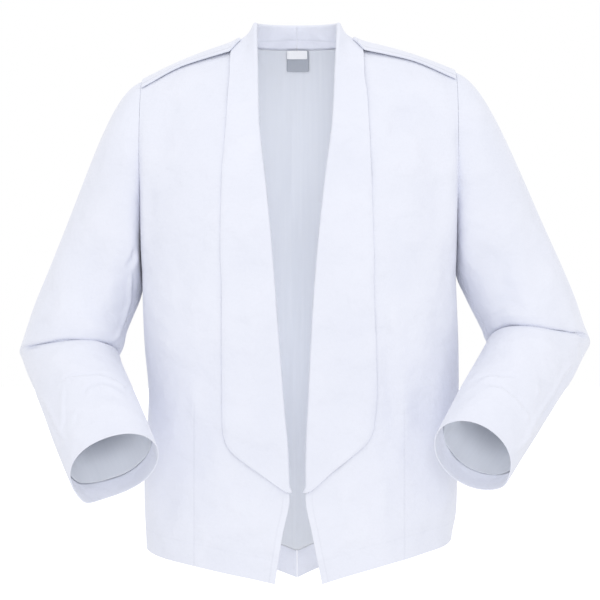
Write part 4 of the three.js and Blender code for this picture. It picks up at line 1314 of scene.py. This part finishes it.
@dataclass
class SetInSleeve:
    """A two-piece sleeve with a bent elbow, a vented cuff and a lining in the cuff."""

    form: SleeveForm
    front_seam: float = -72
    half_gap: float = 0.16
    cuff_turn: float = 30
    seam_dip: float = 0.8
    dip_width: float = 3
    unevenness: float = 1.2
    relief: float = 1.5
    lining_start: float = 210
    lining_columns: int = 60
    lining_top: float = 216

    def __post_init__(self) -> None:
        """Work out where the sleeve ends, below its cap."""
        self.end = self.form.length + self.form.cap_end

    def grid(self, runs: Array, under: bool, columns: int) -> tuple[Array, Array]:
        """Angles and runs of one of the two pieces, between its seams.

        Args:
            runs: its rows, down the sleeve.
            under: whether it is the under piece.
            columns: how many columns lie between those close to the seams.

        Returns:
            The angle and the run of every point.
        """
        back = self.form.back_seam(runs)[:, None]
        front = self.front_seam + 0 * back
        first, last = (back, front + 360) if under else (front, back)
        shares = np.concatenate([[0, 0.006], np.linspace(0.03, 0.97, columns), [0.994, 1]])
        angle = mix(first + self.half_gap, last - self.half_gap, shares[None])
        return angle, np.broadcast_to(runs[:, None], angle.shape)

    def half(self, under: bool, white: Material) -> Piece:
        """Build the top or the under piece."""
        half, end = self.form.body.half, self.end
        cap = stepped((-1, 0), (-0.996, 0.004), (-0.985, 0.011), (-0.04, 0.042))
        arm = stepped((0, 0), (46, 6), (74, 3.5), (100, 1.7), (end - 3, 2.9), (end, 1.5))
        angle, run = self.grid(np.concatenate([cap, arm]), under, 14 if under else 74)
        points = self.form.surface(angle, run)
        points, normals = points * half.mirror, -grid_normals(points) * half.mirror
        swelling = swell(points) * self.unevenness * ease(0, 60, run) * (1 - ease(end - 50, end, run))
        above_cuff = self.relief * (1 - ease(end - 40, end - 10, run))
        points = creased(points, normals, SLEEVE_CREASES, above_cuff)
        across = travelled(points, 1)
        to_seam = np.minimum(across, across[:, -1:] - across)
        dip = -self.seam_dip * np.exp(-((to_seam / self.dip_width) ** 2))
        dip = dip * ease(0, 30, run) * (1 - ease(end - 40, end - 20, run))
        points = points + normals * (swelling * ease(2, 30, to_seam) + dip)[..., None]
        name = f"sleeve_{'under' if under else 'top'}_{half.name}"
        sheet = Cloth(f"cloth_{name}", name, points, normals)
        return sheet.make(white, Slot.WHITE_CLOTH, [f"cloth_front_{half.name}", f"cloth_back_{half.name}"])

    def lining(self, grey: Material) -> Piece:
        """Build the lining inside the lower sleeve, down to the turned-up cuff."""
        half = self.form.body.half
        last = self.end - self.cuff_turn
        runs = stepped((self.lining_start, 0), (last - 1, 9), (last, 1))
        angle, run = np.meshgrid(np.linspace(0, 360, self.lining_columns + 1), runs)
        seam = self.form.back_seam(run)
        # The angles follow the seams, as the sleeve's own columns do
        top, under = angle / self.lining_top, (angle - self.lining_top) / (360 - self.lining_top)
        upper, lower = mix(self.front_seam, seam, top), mix(seam, self.front_seam + 360, under)
        points = self.form.surface(np.where(angle < self.lining_top, upper, lower), run)
        normals = -grid_normals(points)
        normals[:, 0] = normals[:, -1] = unit(normals[:, 0] + normals[:, -1])
        ripple = 0.35 * np.sin(np.radians(angle) * 9 + run / 17) - 0.4
        points = points - normals * (CLOTH + LINING_CLEAR)
        points = (points + normals * ripple[..., None]) * half.mirror
        points[:, -1] = points[:, 0]
        name, node = f"cuff_lining_{half.name}", f"lining_cuff_{half.name}"
        sheet = Cloth(name, node, points, normals * half.mirror, LINING_CLOTH, ring=True)
        return sheet.make(grey, Slot.GREY_LINING, [f"cloth_sleeve_top_{half.name}"])


@dataclass
class BackLining:
    """The grey lining inside the back, whole from side to side."""

    right: BodyForm
    left: BodyForm
    hem: float = 36
    top: float = 10
    corner: float = 7
    below_chest: float = 390
    above_chest: float = 670
    half_width: float = 200

    def make(self, grey: Material) -> Piece:
        """Build the lining behind both back panels, with an ease pleat down its middle."""
        us = stepped((0, 0), (0.58, 0.036), (0.62, 0.01), (0.97, 0.034), (1, 0.01))
        vs = stepped((0.5 * self.hem / self.below_chest, 0), (0.9395, 0.02), (0.985, 0.006))
        sides = []
        for form, columns in ((self.right, us), (self.left, us[::-1][1:])):
            u, v = np.meshgrid(columns, vs)
            pulled = self.corner * np.maximum(0, 1 - np.abs(u - NECK_SHARE) / 0.1)
            highest = 1 - (self.top + pulled) / self.above_chest
            points, normals = form.back.at(u, np.minimum(v, highest))
            length = self.half_width * (1 - u)
            slack = -0.5 - 0.25 * (1 + np.sin(u * 21 + v * 4)) * ease(10, 40, length)
            pleat = -0.9 * np.exp(-((length - 4) ** 2) / 8) * (1 - ease(0.9, 0.96, v))
            points = points + normals * (slack + pleat - CLOTH - LINING_CLEAR)[..., None]
            sides.append((points * form.half.mirror, normals * form.half.mirror))
        points, normals = (np.concatenate(pair, axis=1) for pair in zip(*sides))
        sheet = Cloth("lining_of_back", "lining_back", points, normals, LINING_CLOTH)
        return sheet.make(grey, Slot.GREY_LINING, ["cloth_shawl_right", "cloth_shawl_left"])


@dataclass
class NeckLabel:
    """A blank tape folded from the neck seam, with a smaller white one over it."""

    right: BodyForm
    left: BodyForm
    name: str
    node: str
    half_width: float
    length: float
    shift: float
    depth: float
    top: float = 5.5
    panel_up: float = 400

    def make(self, tape: Material, slot: Slot) -> Piece:
        """Build the tape against the lining, its lower end a little loose."""
        xs = np.linspace(-self.half_width, self.half_width, 9) + self.shift
        downs = stepped((0, 0), (self.length, 2))
        x, down = np.meshgrid(xs, downs)
        v = 1 - (self.top + down) / self.panel_up
        u = mix(NECK_SHARE, 1, np.arccos(np.abs(x) / NECK_POINT[0]) / (np.pi / 2))
        right, right_n = self.right.back.at(u, v)
        left, left_n = self.left.back.at(u, v)
        is_right = (x < 0)[..., None]
        points = np.where(is_right, right * RIGHT.mirror, left)
        normals = np.where(is_right, right_n * RIGHT.mirror, left_n)
        loose = self.depth + 0.8 * (down / self.length) ** 2
        points = points - normals * loose[..., None]
        sheet = Cloth(self.name, self.node, points[::-1], normals[::-1], 0.8)
        return sheet.make(tape, slot, ["lining_of_back"])


# Lamps: kind, place in metres, tilt in degrees, size in metres, watts
LAMPS = {
    "overhead": ("AREA", (0, -0.5, 2.2), 0, 2.4, 6),
    "beside_camera": ("AREA", (0.15, -2.9, 0.1), 82, 0.8, 12),
    "card_inside_top": ("AREA", (0, -0.02, -0.14), 90, 0.2, 0.1),
    "card_inside_middle": ("AREA", (0, -0.02, -0.36), 90, 0.2, 0.09),
    "card_inside_low": ("AREA", (0, -0.02, -0.56), 90, 0.2, 0.045),
    "cuff_fill_right": ("POINT", (-0.241, -0.133, -0.496), 0, 0.012, 0.026),
    "cuff_fill_left": ("POINT", (0.235, -0.133, -0.484), 0, 0.012, 0.026),
}


@dataclass
class Studio:
    """White sweep, soft light from above and beside the camera, weak fills inside, and the camera."""

    floor_z: float = -1.06
    floor_half: float = 14
    floor_glow: float = 0.4
    world: float = 0.95
    lens: float = 120
    sensor: float = 36

    def build(self) -> None:
        """Make the floor, the world, the lamps and the camera."""
        scene = bpy.context.scene
        scene.view_settings.view_transform = "Standard"
        self.floor()
        scene.world = self.room()
        for name in LAMPS:
            self.lamp(name, *LAMPS[name])
        camera = bpy.data.objects.new("camera", bpy.data.cameras.new("camera"))
        camera.data.lens, camera.data.sensor_width = self.lens, self.sensor
        camera.location = tuple(EYE * MM)
        camera.rotation_euler = (np.pi / 2, 0, 0)
        scene.collection.objects.link(camera)
        scene.camera = camera

    def floor(self) -> None:
        """Make the plain pale floor, which throws no colour on the jacket."""
        shape = bmesh.new()
        bmesh.ops.create_grid(shape, x_segments=1, y_segments=1, size=self.floor_half)
        bmesh.ops.translate(shape, verts=shape.verts, vec=(0, 0, self.floor_z))
        mesh = bpy.data.meshes.new("studio_floor")
        shape.to_mesh(mesh)
        shape.free()
        floor = bpy.data.objects.new("studio_floor", mesh)
        bpy.context.scene.collection.objects.link(floor)
        material, tree, shader = new_material("pale_paper_floor")
        feed(tree, shader, {"Base Color": linear("#F4F4F6"), "Roughness": 0.9})
        feed(tree, shader, {"Emission Color": (1, 1, 1, 1), "Emission Strength": self.floor_glow})
        mesh.materials.append(material)
        floor.visible_diffuse = False

    def room(self) -> bpy.types.World:
        """Light the room softly and evenly, and let the sweep behind the jacket read as pure white."""
        world = bpy.data.worlds.new("white_room")
        world.use_nodes = True
        tree = world.node_tree
        soft = tree.nodes["Background"]
        feed(tree, soft, {"Color": (1, 1, 1, 1), "Strength": self.world})
        sweep = add(tree, "Background", {"Color": (1, 1, 1, 1), "Strength": 1.0})
        straight = add(tree, "LightPath", out="Is Camera Ray")
        both = add(tree, "MixShader", {0: straight, 1: soft.outputs[0], 2: sweep})
        feed(tree, tree.nodes["World Output"], {"Surface": both})
        return world

    def lamp(self, name: str, kind: str, place: tuple, tilt: float, size: float, watts: float) -> None:
        """Add a square area light or a small round one.

        Args:
            name: its name.
            kind: AREA or POINT.
            place: where it stands, in metres.
            tilt: how far it is turned up from facing down, in degrees.
            size: its side or radius, in metres.
            watts: its power.
        """
        light = bpy.data.lights.new(name, kind)
        light.energy = watts
        if kind == "AREA":
            light.size = size
        else:
            light.shadow_soft_size = size
        holder = bpy.data.objects.new(name, light)
        holder.location = place
        holder.rotation_euler = (np.radians(tilt), 0, 0)
        holder.visible_camera = False
        bpy.context.scene.collection.objects.link(holder)


def main() -> None:
    """Build the jacket piece by piece, with each piece reported as it is made."""
    white = Gabardine().make()
    grey = LiningTwill().make()
    forms = [BodyForm(half) for half in (RIGHT, LEFT)]
    BackLining(*forms).make(grey)
    for form in forms:
        panels = BodyPanels(form)
        panels.back(white)
        panels.front(white)
        ShawlCollar(form).make(white)
        ShoulderStrap(form).make(white)
        sleeve = SetInSleeve(SleeveForm(form))
        sleeve.half(False, white)
        sleeve.half(True, white)
        sleeve.lining(grey)
    for name, colour, slot, half_width, length, shift, over_lining in (
        ("grey", "#A9AEB8", Slot.GREY_TAPE, 15.5, 30, 1.5, 1.9),
        ("white", "#F4F5F8", Slot.WHITE_TAPE, 15, 13, 0, 3.5),
    ):
        tape = WovenTape(f"{name}_woven_tape", colour).make()
        depth = CLOTH + LINING_CLEAR + LINING_CLOTH + over_lining
        label = NeckLabel(*forms, f"neck_label_{name}", f"label_{name}", half_width, length, shift, depth)
        label.make(tape, slot)
    Studio().build()


if __name__ == "__main__":
    main()
